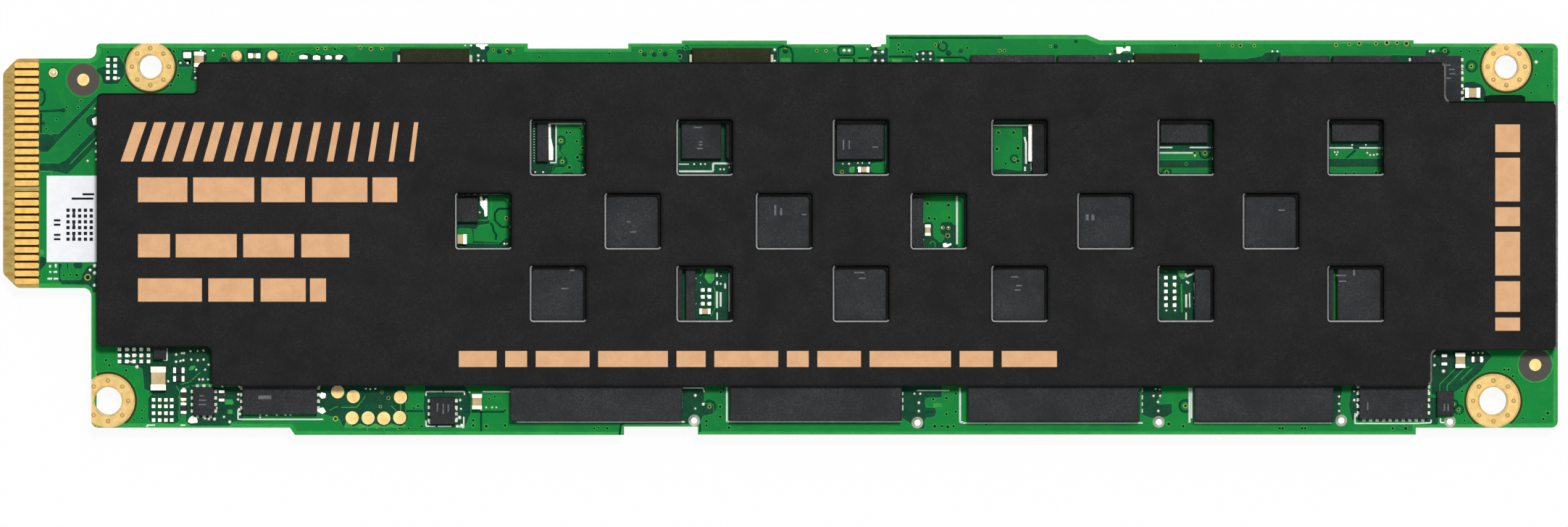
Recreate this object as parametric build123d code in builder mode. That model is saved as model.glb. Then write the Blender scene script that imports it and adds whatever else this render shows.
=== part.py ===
import os

from build123d import *

# A bare ruler-format solid state drive module, in millimetres, lying on the chips of its lower face.
# +X runs from the edge connector to the far end, +Y to the long edge with the large capacitors,
# +Z up through the board to the heat spreader. The origin is the centre of the base.

# Overall sizes
board_length = 118.75
board_thickness = 1.57
package_height = 1.2
film_thickness = 0.25
spreader_thickness = 0.6

# Edge connector: two groups of contacts on each face of the tongue
contact_pitch = 0.6
contact_gap_pitch = 0.9
contact_width = 0.42
contact_length = 1.85
contact_corner = 0.08
contact_setback = 0.9
upper_group_count = 16
lower_group_count = 12
tongue_margin = 0.3
tongue_step = 1.145
tongue_corner = 1.1
tongue_corner_radius = 0.6
tongue_root_radius = 0.6
shoulder_radius = 0.3
tip_bevel_length = 0.7
tip_bevel_depth = 0.3

# Board corners, screw holes and plating
board_corner_radius = 0.5
plating = 0.05
upper_hole_diameter = 1.75
upper_ring_diameter = 3.75
lower_hole_diameter = 2.1
lower_ring_diameter = 4.12
fiducial_diameter = 0.92
test_pad_diameter = 1.0
small_pad_diameter = 0.68
mound_diameter = 0.9
mound_height = 0.28
mound_top_share = 0.5
grid_pad_side = 0.26

# Heat spreader, its film and the label
spreader_corner = 0.45
window_side = 4.4
window_corner = 0.3
window_draft = 14
lip_bevel = 0.14
film_inset = 0.25
film_clearance = 0.1
label_width = 4.7
label_length = 6.6
label_thickness = 0.1

# Ball-grid packages
package_standoff = 0.25
package_ball_inset = 0.55
package_edge = 0.08
package_gap = 0.28
part_gap = 0.14
flash_width = 13.1
narrow_flash_width = 10.6
flash_length = 18.0
controller_side = 15.0
memory_width = 7.5
memory_length = 12.0
memory_rise = 1.34
dot_diameter = 0.8
dot_depth = 0.05
dot_margin = 1.0

# Small leadless chips and power inductors
chip_side = 4.0
chip_height = 0.8
chip_edge = 0.05
pad_pitch = 0.5
pad_width = 0.24
pad_reach = 0.2
pad_height = 0.1
gate_switch_gap = 1.64
inductor_gap = 0.37
inductor_height = 1.1
inductor_edge = 0.3
inductor_terminal_reach = 0.3
inductor_terminal_height = 0.5

# Hold-up capacitors and small two-ended parts
holdup_length = 6.0
holdup_width = 3.2
holdup_height = 1.1
holdup_edge = 0.12
terminal_width = 2.2
terminal_reach = 0.2
terminal_height = 0.7
large_capacitor_length = 1.8
large_capacitor_width = 1.15
large_capacitor_height = 0.9
medium_capacitor_length = 1.15
medium_capacitor_width = 0.75
medium_capacitor_height = 0.6
small_part_length = 0.85
small_part_width = 0.42
small_capacitor_height = 0.42
resistor_height = 0.28
end_share = 0.24
body_share = 0.94

# The photograph's frame: pixel columns and rows of the board's extremes
tip_px = 4
far_end_px = 2150
highest_edge_px = 48
lowest_edge_px = 600
middle_px = (highest_edge_px + lowest_edge_px) / 2
mm_per_px = board_length / (far_end_px - tip_px)

# The rows beside the flash packages stretch with them, and the rows beyond move with their ends.
flash_middle_px = 418
flash_half_px = 162.64


def across(x_px):
    return (x_px - (tip_px + far_end_px) / 2) * mm_per_px


def along(y_px):
    offset_px = flash_middle_px - y_px
    beside_px = max(-flash_half_px, min(flash_half_px, offset_px))
    beyond_px = offset_px - beside_px
    stretched = beside_px / flash_half_px * flash_length / 2
    return (middle_px - flash_middle_px + beyond_px) * mm_per_px + stretched


def place(point_px):
    return across(point_px[0]), along(point_px[1])


def finish(piece, name):
    piece.part.label = name
    export_step(piece.part, f"parts/{name}.step")


os.makedirs("parts", exist_ok=True)

# Levels, from the base up
board_bottom = package_height
board_top = board_bottom + board_thickness
film_bottom = board_top + package_height
spreader_bottom = film_bottom + film_thickness
spreader_top = spreader_bottom + spreader_thickness


def level(face):
    return board_top if face > 0 else board_bottom


# Contacts, as rows from the tongue's upper edge to its lower edge, one step below the board's edge
upper_shoulder_px = (133, 60)
lower_shoulder_px = (126, 590)
pitches_in_groups = upper_group_count + lower_group_count - 2
row_span = pitches_in_groups * contact_pitch + contact_gap_pitch
tongue_width = row_span + contact_width + 2 * tongue_margin
tongue_top = along(upper_shoulder_px[1]) - tongue_step
tongue_bottom = tongue_top - tongue_width
tongue_centre = (tongue_top + tongue_bottom) / 2
first_row = tongue_centre + row_span / 2
contact_rows = [first_row - index * contact_pitch for index in range(upper_group_count)]
next_row = contact_rows[-1] - contact_gap_pitch
contact_rows += [next_row - index * contact_pitch for index in range(lower_group_count)]

# Board outline: the tongue follows the contacts, the rest follows the photograph
tip = across(tip_px)
upper_edge_px = [(728, 60), (728, 67), (867, 67), (867, 60), (941, 60), (941, 56), (1086, 56), (1086, 61)]
raised_edge_px = [(1223, 61), (1223, 48), (1500, 48), (1518, 55.5), (1951, 55.5), (1951, 60)]
far_corners_px = [(2150, 60), (2150, 590)]
lower_edge_px = [(1954, 590), (1954, 599.5), (963, 599.5), (963, 588.5)]
far_lower_edge_px = [(861, 588.5), (861, 600), (407, 600), (400, 590)]
tongue_roots = [(across(upper_shoulder_px[0]), tongue_top), (across(lower_shoulder_px[0]), tongue_bottom)]
edge_px = [upper_shoulder_px] + upper_edge_px + raised_edge_px + far_corners_px
edge_px += lower_edge_px + far_lower_edge_px + [lower_shoulder_px]


tip_corners = [
    (tip + tongue_corner, tongue_bottom),
    (tip, tongue_bottom + tongue_corner),
    (tip, tongue_top - tongue_corner),
    (tip + tongue_corner, tongue_top),
]


def nearest_corners(sketch, points):
    return [sketch.vertices().sort_by_distance(point)[0] for point in points]


with BuildSketch() as board_outline:
    with BuildLine():
        Polyline(
            *tip_corners,
            tongue_roots[0],
            *[place(point) for point in edge_px],
            tongue_roots[1],
            close=True,
        )
    make_face()
    fillet(nearest_corners(board_outline, tip_corners), tongue_corner_radius)
    fillet(nearest_corners(board_outline, tongue_roots), tongue_root_radius)
    fillet(nearest_corners(board_outline, [place(upper_shoulder_px)]), shoulder_radius)
    far_corners = [place(corner) for corner in far_corners_px + [lower_shoulder_px]]
    fillet(nearest_corners(board_outline, far_corners), board_corner_radius)

# Screw holes: the upper two are smaller than the lower two
upper_hole_row_px = 92
lower_hole_row_px = 553
upper_hole_columns_px = {"left": 207.5, "right": 2079}
lower_hole_columns_px = {"left": 149, "right": 2061}
screw_holes = []
for end, column_px in upper_hole_columns_px.items():
    centre = place((column_px, upper_hole_row_px))
    screw_holes.append((f"plated_hole_upper_{end}", centre, upper_hole_diameter / 2, upper_ring_diameter / 2))
for end, column_px in lower_hole_columns_px.items():
    centre = place((column_px, lower_hole_row_px))
    screw_holes.append((f"plated_hole_lower_{end}", centre, lower_hole_diameter / 2, lower_ring_diameter / 2))

with BuildPart() as circuit_board:
    with BuildSketch(Plane.XY.offset(board_bottom)):
        add(board_outline.sketch)
        for name, centre, bore, ring in screw_holes:
            with Locations(centre):
                Circle(bore + plating, mode=Mode.SUBTRACT)
    extrude(amount=board_thickness)
    # Both faces of the tongue slope down to a thin tip, which leads it into its socket.
    with BuildSketch(Plane.XZ.offset(-tongue_centre)):
        for face in (1, -1):
            with BuildLine():
                Polyline(
                    (tip + tip_bevel_length, level(face)),
                    (tip, level(face) - face * tip_bevel_depth),
                    (tip, level(face)),
                    close=True,
                )
            make_face()
    extrude(amount=tongue_width, both=True, mode=Mode.SUBTRACT)
finish(circuit_board, "circuit_board")

# Plated screw holes: a ring on each face, cut where the board ends, joined by the bore
for name, centre, bore, ring in screw_holes:
    with BuildPart() as plated_hole:
        for face in (1, -1):
            with BuildSketch(Plane.XY.offset(level(face))):
                with Locations(centre):
                    Circle(ring)
                add(board_outline.sketch, mode=Mode.INTERSECT)
                with Locations(centre):
                    Circle(bore, mode=Mode.SUBTRACT)
            extrude(amount=face * plating)
        with BuildSketch(Plane.XY.offset(board_bottom)):
            with Locations(centre):
                Circle(bore + plating)
                Circle(bore, mode=Mode.SUBTRACT)
        extrude(amount=board_thickness)
    finish(plated_hole, name)

# Edge contacts: the same rows on both faces
contact_middle = tip + contact_setback + contact_length / 2
for face, name in ((1, "top_edge_contacts"), (-1, "bottom_edge_contacts")):
    with BuildPart() as contacts:
        with BuildSketch(Plane.XY.offset(level(face))) as rows:
            with Locations(*[(contact_middle, row) for row in contact_rows]):
                Rectangle(contact_length, contact_width)
            chamfer(rows.vertices(), contact_corner)
        extrude(amount=face * plating)
    finish(contacts, name)

# Fiducial dots, round test pads and square pads, all as thick as the plating
fiducials_px = [(115, 110), (2118.7, 503.4)]
with BuildPart() as fiducial_dots:
    with BuildSketch(Plane.XY.offset(board_top)):
        with Locations(*[place(point) for point in fiducials_px]):
            Circle(fiducial_diameter / 2)
    extrude(amount=plating)
finish(fiducial_dots, "fiducial_dots")

test_pads_px = [(466, 540.5), (487.6, 547), (552.7, 548)]
test_pads_px += [(486, 576.5), (508, 576.5), (529.7, 577), (551.6, 576)]
small_pads_px = [(73.5, 100.4), (327, 76), (351, 76), (376, 76)]
with BuildPart() as test_pads:
    with BuildSketch(Plane.XY.offset(board_top)):
        with Locations(*[place(point) for point in test_pads_px]):
            Circle(test_pad_diameter / 2)
        with Locations(*[place(point) for point in small_pads_px]):
            Circle(small_pad_diameter / 2)
    extrude(amount=plating)
finish(test_pads, "test_pads")

# Heat spreader: a punched sheet with a notch at two corners and eighteen windows in three rows
spreader_outline_px = [
    (135, 129), (274, 129), (274, 86), (1994, 86), (1994, 140), (2148, 140),
    (2148, 483), (1975, 483), (1975, 532), (293, 532), (293, 478), (135, 478),
]
outer_row_columns_px = [771, 973, 1188.5, 1407, 1636, 1870]
middle_row_columns_px = [668, 874, 1082.5, 1295.5, 1525.5, 1753.5]
windows_px = [(column, row) for row in (203.5, 405) for column in outer_row_columns_px]
windows_px += [(column, 305) for column in middle_row_columns_px]
window_places = [place(point) for point in windows_px]

with BuildSketch() as spreader_outline:
    with BuildLine():
        Polyline(*[place(point) for point in spreader_outline_px], close=True)
    make_face()
    fillet(spreader_outline.vertices(), spreader_corner)

with BuildPart() as heat_spreader:
    with BuildSketch(Plane.XY.offset(spreader_bottom)):
        add(spreader_outline.sketch)
    extrude(amount=spreader_thickness)
    # The punched walls lean in towards the bottom.
    with BuildSketch(Plane.XY.offset(spreader_top)):
        with Locations(*window_places):
            RectangleRounded(window_side, window_side, window_corner)
    extrude(amount=-spreader_thickness, taper=window_draft, mode=Mode.SUBTRACT)
    # The punch leaves every upper edge pulled over.
    chamfer(heat_spreader.faces().sort_by(Axis.Z)[-1].edges(), lip_bevel)
finish(heat_spreader, "heat_spreader")

with BuildPart() as thermal_film:
    with BuildSketch(Plane.XY.offset(film_bottom)):
        add(spreader_outline.sketch)
        offset(amount=-film_inset)
        with Locations(*window_places):
            Rectangle(window_side + film_clearance, window_side + film_clearance, mode=Mode.SUBTRACT)
    extrude(amount=film_thickness)
finish(thermal_film, "thermal_film")

label_px = (107, 302)
with BuildPart() as paper_label:
    with BuildSketch(Plane.XY.offset(board_top)):
        with Locations(place(label_px)):
            Rectangle(label_width, label_length)
    extrude(amount=label_thickness)
finish(paper_label, "paper_label")


# Ball-grid packages: a moulded body held off the board by its field of solder balls
def grid_package(name, centre, width, length, face):
    foot = 2 * package_ball_inset
    with BuildPart() as package:
        with BuildSketch(Plane.XY.offset(level(face))):
            with Locations(centre):
                Rectangle(width - foot, length - foot)
        extrude(amount=face * package_standoff)
        with BuildSketch(Plane.XY.offset(level(face) + face * package_standoff)):
            with Locations(centre):
                Rectangle(width, length)
        extrude(amount=face * (package_height - package_standoff))
        lid = package.faces().sort_by(Axis.Z)[-1 if face > 0 else 0]
        chamfer(lid.edges(), package_edge)
        # A shallow moulded dot marks the corner of the first ball.
        dot = (centre[0] - width / 2 + dot_margin, centre[1] + length / 2 - dot_margin)
        with BuildSketch(Plane.XY.offset(level(face) + face * package_height)):
            with Locations(dot):
                Circle(dot_diameter / 2)
        extrude(amount=-face * dot_depth, mode=Mode.SUBTRACT)
    finish(package, name)


# Small chips: width and length as shares of the common side, then the sides that have pads
power_manager_shares = (1.3, 1.1)
holdup_controller_shares = (0.94, 1.02)
boot_memory_shares = (1.42, 1.12)
load_switch_shares = (0.4, 0.54)
bus_expander_shares = (0.47, 0.51)
reset_shares = (0.235, 0.38)
temperature_sensor_shares = (0.32, 0.46)
regulator_shares = (0.76, 0.72)
wide_regulator_shares = (0.9, 0.74)
tall_gate_switch_shares = (0.22, 0.8)
gate_switch_shares = (0.55, 0.48)
narrow_buffer_shares = (0.19, 1.5)
wide_buffer_shares = (0.34, 1.2)

controller_px = (455, 312)
controller_place = place(controller_px)
controller_right = controller_place[0] + controller_side / 2
gate_switch_width = gate_switch_shares[0] * chip_side
gate_switch_row_px = 289
gate_switch_left = controller_right + gate_switch_gap
gate_switch_place = (gate_switch_left + gate_switch_width / 2, along(gate_switch_row_px))
grid_package("controller_chip", controller_place, controller_side, controller_side, 1)

# The flash packages stand in a row from the gate switch to the photographed end of the last one.
# Each gap of the row holds its own parts and a share of the free room.
flash_row_end_px = 1839.8
flash_widths = [flash_width, flash_width, flash_width, narrow_flash_width]
narrow_buffer_width = narrow_buffer_shares[0] * chip_side
wide_buffer_width = wide_buffer_shares[0] * chip_side
gap_contents = [
    package_gap,
    package_gap + narrow_buffer_width + 2 * part_gap + small_part_length,
    package_gap + wide_buffer_width + part_gap + small_part_width,
    medium_capacitor_width,
]
gap_shares = [0.22, 0.15, 0.285, 0.345]
row_start = gate_switch_left + gate_switch_width
free_room = across(flash_row_end_px) - row_start - sum(flash_widths) - sum(gap_contents)
flash_lefts = []
flash_rights = []
reached = row_start
for width, content, share in zip(flash_widths, gap_contents, gap_shares):
    flash_lefts.append(reached + content + share * free_room)
    reached = flash_lefts[-1] + width
    flash_rights.append(reached)
for index, (left, right) in enumerate(zip(flash_lefts, flash_rights)):
    centre = ((left + right) / 2, along(flash_middle_px))
    grid_package(f"flash_package_{index + 1}", centre, right - left, flash_length, 1)
    grid_package(f"flash_package_{index + 5}", centre, right - left, flash_length, -1)


# A place in the gap after a flash package, as a share of the gap
def in_gap(index, share):
    return flash_rights[index] + share * (flash_lefts[index + 1] - flash_rights[index])


# The first memory chip stands between the label and the controller, the second beside the last flash.
power_manager_px = (1923, 538)
memory_side_share = 0.43
memory_row_px = 320
label_right = across(label_px[0]) + label_width / 2
memory_room = controller_place[0] - controller_side / 2 - label_right - memory_width
first_memory = (label_right + memory_side_share * memory_room + memory_width / 2, along(memory_row_px))
power_manager_top = along(power_manager_px[1]) + power_manager_shares[1] * chip_side / 2 + pad_reach
second_memory_row = power_manager_top + memory_rise + memory_length / 2
second_memory = (flash_rights[-1] + package_gap + memory_width / 2, second_memory_row)
grid_package("memory_chip_1", first_memory, memory_width, memory_length, 1)
grid_package("memory_chip_2", second_memory, memory_width, memory_length, 1)

# A bus buffer stands one gap off the first and the second flash package.
buffer_rows_px = [410, 304]
buffer_rights = [
    flash_rights[0] + package_gap + narrow_buffer_width,
    flash_rights[1] + package_gap + wide_buffer_width,
]
buffer_places = [
    (buffer_rights[0] - narrow_buffer_width / 2, along(buffer_rows_px[0])),
    (buffer_rights[1] - wide_buffer_width / 2, along(buffer_rows_px[1])),
]
regulator_place = place((968, 193))
chips = [
    ("power_manager_chip", place(power_manager_px), power_manager_shares, "xy"),
    ("holdup_controller_chip", place((1982, 114)), holdup_controller_shares, "x"),
    ("boot_memory_chip", place((386.5, 531)), boot_memory_shares, "x"),
    ("load_switch_chip", place((281.5, 553.5)), load_switch_shares, "xy"),
    ("bus_expander_chip", place((611, 566.5)), bus_expander_shares, "x"),
    ("reset_chip", place((221, 482)), reset_shares, ""),
    ("temperature_sensor_chip", place((1994.5, 556)), temperature_sensor_shares, ""),
    ("regulator_chip_1", regulator_place, regulator_shares, ""),
    ("regulator_chip_2", place((1187, 193)), wide_regulator_shares, ""),
    ("regulator_chip_3", place((1634, 170.5)), wide_regulator_shares, ""),
    ("regulator_chip_4", place((1870, 168.5)), wide_regulator_shares, ""),
    ("gate_switch_chip_1", place((749, 194)), tall_gate_switch_shares, ""),
    ("gate_switch_chip_2", gate_switch_place, gate_switch_shares, ""),
    ("bus_buffer_chip_1", buffer_places[0], narrow_buffer_shares, ""),
    ("bus_buffer_chip_2", buffer_places[1], wide_buffer_shares, ""),
]

for name, centre, shares, padded_sides in chips:
    width = shares[0] * chip_side
    length = shares[1] * chip_side
    with BuildPart() as chip:
        with BuildSketch(Plane.XY.offset(board_top)):
            with Locations(centre):
                Rectangle(width, length)
        extrude(amount=chip_height)
        chamfer(chip.faces().sort_by(Axis.Z)[-1].edges(), chip_edge)
    finish(chip, name)

# Pads of the small chips: solder that stands out past the body, against its sides
with BuildPart() as chip_pads:
    for name, centre, shares, padded_sides in [chip for chip in chips if chip[3]]:
        width = shares[0] * chip_side
        length = shares[1] * chip_side
        with BuildSketch(Plane.XY.offset(board_top)):
            with Locations(centre):
                if "x" in padded_sides:
                    with GridLocations(width + pad_reach, pad_pitch, 2, int(length / pad_pitch)):
                        Rectangle(pad_reach, pad_width)
                if "y" in padded_sides:
                    with GridLocations(pad_pitch, length + pad_reach, int(width / pad_pitch), 2):
                        Rectangle(pad_width, pad_reach)
        extrude(amount=pad_height)
finish(chip_pads, "chip_pads")

# Each grid of square pads is its columns and its rows. Two of them lie in the flash packages' gaps.
photo_grids_px = [
    ([212, 220.5, 229, 237], [551.6, 560.5, 570, 579.5]),
    ([149, 159], [82.4, 90.8, 99.2, 107.8]),
    ([165, 175, 185, 195, 205], [482, 490.3, 498.6]),
]
pad_grids = [([across(column) for column in columns_px], rows_px) for columns_px, rows_px in photo_grids_px]
after_buffer_shares = [0.207, 0.397]
last_gap_shares = [0.483, 0.641]
after_buffer = flash_lefts[1] - buffer_rights[0]
after_buffer_rows_px = [400, 409.5, 419]
last_gap_rows_px = [383, 392.5, 402, 411.5, 421]
after_buffer_columns = [buffer_rights[0] + share * after_buffer for share in after_buffer_shares]
pad_grids.append((after_buffer_columns, after_buffer_rows_px))
pad_grids.append(([in_gap(2, share) for share in last_gap_shares], last_gap_rows_px))
with BuildPart() as solder_pads:
    with BuildSketch(Plane.XY.offset(board_top)):
        for columns, rows_px in pad_grids:
            with Locations(*[(column, along(row)) for column in columns for row in rows_px]):
                Rectangle(grid_pad_side, grid_pad_side)
    extrude(amount=plating)
finish(solder_pads, "solder_pads")

# Solder mounds: low heaps of solder along the lower edge, three in the gaps and two beyond
gap_mound_shares = [0.25, 0.237, 0.351]
gap_mound_rows_px = [580, 583, 582]
far_mounds_px = [(1851, 580), (2001, 581.5)]
mound_places = [
    (in_gap(index, share), along(gap_mound_rows_px[index])) for index, share in enumerate(gap_mound_shares)
]
mound_places += [place(point) for point in far_mounds_px]
with BuildPart() as solder_mounds:
    with Locations(*[(*point, board_top) for point in mound_places]):
        Cone(
            mound_diameter / 2,
            mound_top_share * mound_diameter / 2,
            mound_height,
            align=(Align.CENTER, Align.CENTER, Align.MIN),
        )
finish(solder_mounds, "solder_mounds")

# Power inductors: pressed blocks with bevelled upright edges and a terminal at two ends
small_inductor_shares = (0.66, 0.95)
large_inductor_shares = (1.42, 1.42)
small_inductor_row_px = 188
regulator_right = regulator_place[0] + regulator_shares[0] * chip_side / 2
small_inductor_column = regulator_right + inductor_gap + small_inductor_shares[0] * chip_side / 2
inductors = [
    ("power_inductor_1", (small_inductor_column, along(small_inductor_row_px)), small_inductor_shares, "y"),
    ("power_inductor_2", place((1476, 197)), large_inductor_shares, "x"),
]
for name, centre, shares, ends in inductors:
    with BuildPart() as inductor:
        with BuildSketch(Plane.XY.offset(board_top)) as block:
            with Locations(centre):
                Rectangle(shares[0] * chip_side, shares[1] * chip_side)
            chamfer(block.vertices(), inductor_edge)
        extrude(amount=inductor_height)
        chamfer(inductor.faces().sort_by(Axis.Z)[-1].edges(), chip_edge)
    finish(inductor, name)

with BuildPart() as inductor_terminals:
    for name, centre, shares, ends in inductors:
        width = shares[0] * chip_side
        length = shares[1] * chip_side
        with BuildSketch(Plane.XY.offset(board_top)):
            with Locations(centre):
                if ends == "x":
                    with GridLocations(width + inductor_terminal_reach, 0, 2, 1):
                        Rectangle(inductor_terminal_reach, length / 2)
                else:
                    with GridLocations(0, length + inductor_terminal_reach, 1, 2):
                        Rectangle(width / 2, inductor_terminal_reach)
        extrude(amount=inductor_terminal_height)
finish(inductor_terminals, "inductor_terminals")

# Hold-up capacitors: the middle of their upper side in the photograph, and their lengths
holdup_upper_sides_px = {
    "holdup_capacitor_1": (600.5, 67),
    "holdup_capacitor_2": (1009.5, 66.5),
    "holdup_capacitor_3": (1610, 74),
    "polymer_capacitor_1": (1397.5, 76),
    "polymer_capacitor_2": (1495.5, 76),
    "polymer_capacitor_3": (1799.5, 77),
    "polymer_capacitor_4": (1879, 77),
}
holdup_length_shares = [0.88, 1.0, 0.83, 1.07, 0.67, 0.64, 0.75]
holdup_capacitors = [
    (name, (across(side_px[0]), along(side_px[1]) - holdup_width / 2), share * holdup_length)
    for (name, side_px), share in zip(holdup_upper_sides_px.items(), holdup_length_shares)
]
for name, centre, length in holdup_capacitors:
    with BuildPart() as holdup:
        with BuildSketch(Plane.XY.offset(board_top)):
            with Locations(centre):
                Rectangle(length, holdup_width)
        extrude(amount=holdup_height)
        chamfer(holdup.faces().sort_by(Axis.Z)[-1].edges(), holdup_edge)
    finish(holdup, name)

with BuildPart() as holdup_terminals:
    for name, centre, length in holdup_capacitors[:3]:
        with BuildSketch(Plane.XY.offset(board_top)):
            with Locations(centre):
                with GridLocations(length + terminal_reach, 0, 2, 1):
                    Rectangle(terminal_reach, terminal_width)
        extrude(amount=terminal_height)
finish(holdup_terminals, "holdup_terminals")

# Two-ended parts: pixel places with the turn of the part in degrees
large_capacitors_px = [(219, 522, 90)]
medium_capacitors_px = [(658.5, 554, 90), (2032, 128, 0), (2015, 497, 90), (634, 330, 0), (275, 82, 90)]
small_capacitors_px = [(1192, 234, 0)]
resistors_px = [(247, 510.8, 0), (247, 522.6, 0), (253.5, 545, 90), (253.5, 563, 90), (306, 546, 90)]
resistors_px += [(1993.2, 496.3, 90), (2038.6, 495.8, 0)]

# Lower face: capacitors between the flash packages, under the controller and on the connector's lanes
flash_gap_rows_px = [300, 360, 420, 480, 540]
controller_columns_px = [410, 440, 470, 500]
controller_rows_px = [275, 305, 335]
lane_column_px = 160
lane_rows_px = [150, 175, 200, 225, 250, 275, 300, 325]
under_small_px = [(column, row, 0) for column in controller_columns_px for row in controller_rows_px]
under_small_px += [(lane_column_px, row, 0) for row in lane_rows_px]


def turned(column, row, turn):
    return Location((column, row, 0), (0, 0, turn))


def turned_places(parts_px):
    return [turned(across(x_px), along(y_px), turn) for x_px, y_px, turn in parts_px]


# Two capacitors stand beside the bus buffers, and those of the lower face in the middle of each gap.
beside_buffer_rows_px = [429.5, 317.5]
beside_narrow_buffer = buffer_rights[0] + 2 * part_gap + small_part_length / 2
beside_wide_buffer = buffer_rights[1] + part_gap + small_part_width / 2
small_places = turned_places(small_capacitors_px)
small_places.append(turned(beside_narrow_buffer, along(beside_buffer_rows_px[0]), 0))
small_places.append(turned(beside_wide_buffer, along(beside_buffer_rows_px[1]), 90))
middle_share = 0.5
under_medium_places = [
    turned(in_gap(index, middle_share), along(row), 90) for index in range(3) for row in flash_gap_rows_px
]

capacitor_kinds = [
    (
        1,
        turned_places(large_capacitors_px),
        large_capacitor_length,
        large_capacitor_width,
        large_capacitor_height,
    ),
    (
        1,
        turned_places(medium_capacitors_px),
        medium_capacitor_length,
        medium_capacitor_width,
        medium_capacitor_height,
    ),
    (1, small_places, small_part_length, small_part_width, small_capacitor_height),
    (-1, under_medium_places, medium_capacitor_length, medium_capacitor_width, medium_capacitor_height),
    (-1, turned_places(under_small_px), small_part_length, small_part_width, small_capacitor_height),
]
resistor_kinds = [(1, turned_places(resistors_px), small_part_length, small_part_width, resistor_height)]


# Each part is a body between two tinned ends, which stand a little proud of it.
def two_ended_parts(name, kinds):
    with BuildPart() as bodies:
        for face, places, length, width, height in kinds:
            with BuildSketch(Plane.XY.offset(level(face))):
                with Locations(*places):
                    Rectangle(length * (1 - 2 * end_share), width * body_share)
            extrude(amount=face * height * body_share)
    finish(bodies, f"{name}_bodies")
    with BuildPart() as ends:
        for face, places, length, width, height in kinds:
            with BuildSketch(Plane.XY.offset(level(face))):
                with Locations(*places):
                    with GridLocations(length * (1 - end_share), 0, 2, 1):
                        Rectangle(length * end_share, width)
            extrude(amount=face * height)
    finish(ends, f"{name}_ends")


two_ended_parts("ceramic_capacitor", capacitor_kinds)
two_ended_parts("resistor", resistor_kinds)
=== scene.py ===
import math

import bmesh
import bpy
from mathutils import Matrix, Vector


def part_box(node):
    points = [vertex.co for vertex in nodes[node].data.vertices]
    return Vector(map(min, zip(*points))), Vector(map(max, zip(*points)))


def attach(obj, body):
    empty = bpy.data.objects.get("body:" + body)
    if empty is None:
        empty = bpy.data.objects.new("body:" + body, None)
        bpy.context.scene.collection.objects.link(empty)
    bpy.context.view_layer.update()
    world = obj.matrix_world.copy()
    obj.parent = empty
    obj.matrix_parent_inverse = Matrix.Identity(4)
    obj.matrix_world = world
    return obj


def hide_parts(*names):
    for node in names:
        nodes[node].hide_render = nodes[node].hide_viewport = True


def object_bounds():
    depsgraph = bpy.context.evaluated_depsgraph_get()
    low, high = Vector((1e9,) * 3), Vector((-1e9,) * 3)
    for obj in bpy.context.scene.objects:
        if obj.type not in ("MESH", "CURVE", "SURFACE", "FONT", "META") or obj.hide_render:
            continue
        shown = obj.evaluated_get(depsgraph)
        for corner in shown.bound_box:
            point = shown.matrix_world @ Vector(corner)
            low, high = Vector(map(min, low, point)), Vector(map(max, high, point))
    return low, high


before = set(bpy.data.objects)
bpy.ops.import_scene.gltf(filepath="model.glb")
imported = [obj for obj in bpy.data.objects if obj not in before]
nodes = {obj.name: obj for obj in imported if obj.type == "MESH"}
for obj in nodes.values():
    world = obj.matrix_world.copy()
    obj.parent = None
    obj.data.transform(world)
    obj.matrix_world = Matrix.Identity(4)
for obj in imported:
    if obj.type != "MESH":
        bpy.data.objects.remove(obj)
cadLow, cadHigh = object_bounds()
scene = bpy.context.scene
print("frame loaded:", len(nodes), "nodes")

mm = 0.001

# The photo's columns and rows of the board's ends give the size of a pixel on the board
photo = {"width": 2164, "height": 727, "tip": 4, "farEnd": 2150, "highestEdge": 48, "lowestEdge": 600}
pixel = (cadHigh.x - cadLow.x) / (photo["farEnd"] - photo["tip"])
boardLow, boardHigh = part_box("circuit_board")
sheetLow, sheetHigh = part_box("heat_spreader")
contactLow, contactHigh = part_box("top_edge_contacts")
boardTop = boardHigh.z
boardBottom = boardLow.z
mergeDistance = 0.0005 * mm  # joins the loose corners of a CAD mesh

# The contacts stand in two groups, from the tongue's upper edge down
contact = {
    "pitch": 0.6 * mm, "gapPitch": 0.9 * mm, "width": 0.42 * mm, "upper": 16, "lower": 12,
    "cornerCut": 1.1 * mm, "edgeMargin": 0.31 * mm, "bevelLength": 0.7 * mm, "bevelDepth": 0.3 * mm,
}
contactRows = []
level = contactHigh.y - contact["width"] / 2
for group in (contact["upper"], contact["lower"]):
    contactRows += [level - index * contact["pitch"] for index in range(group)]
    level = contactRows[-1] - contact["gapPitch"]
groupGap = (contactRows[contact["upper"] - 1] + contactRows[contact["upper"]]) / 2


def across(column):  # x of a column of the photo
    return (column - (photo["tip"] + photo["farEnd"]) / 2) * pixel


def along(level):  # y of a row of the photo
    return ((photo["highestEdge"] + photo["lowestEdge"]) / 2 - level) * pixel


def columnOf(x):
    return x / pixel + (photo["tip"] + photo["farEnd"]) / 2


def rowOf(y):
    return (photo["highestEdge"] + photo["lowestEdge"]) / 2 - y / pixel


def spot(point, height=0.0):
    return Vector((across(point[0]), along(point[1]), height))


# Shader and geometry node helpers


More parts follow.
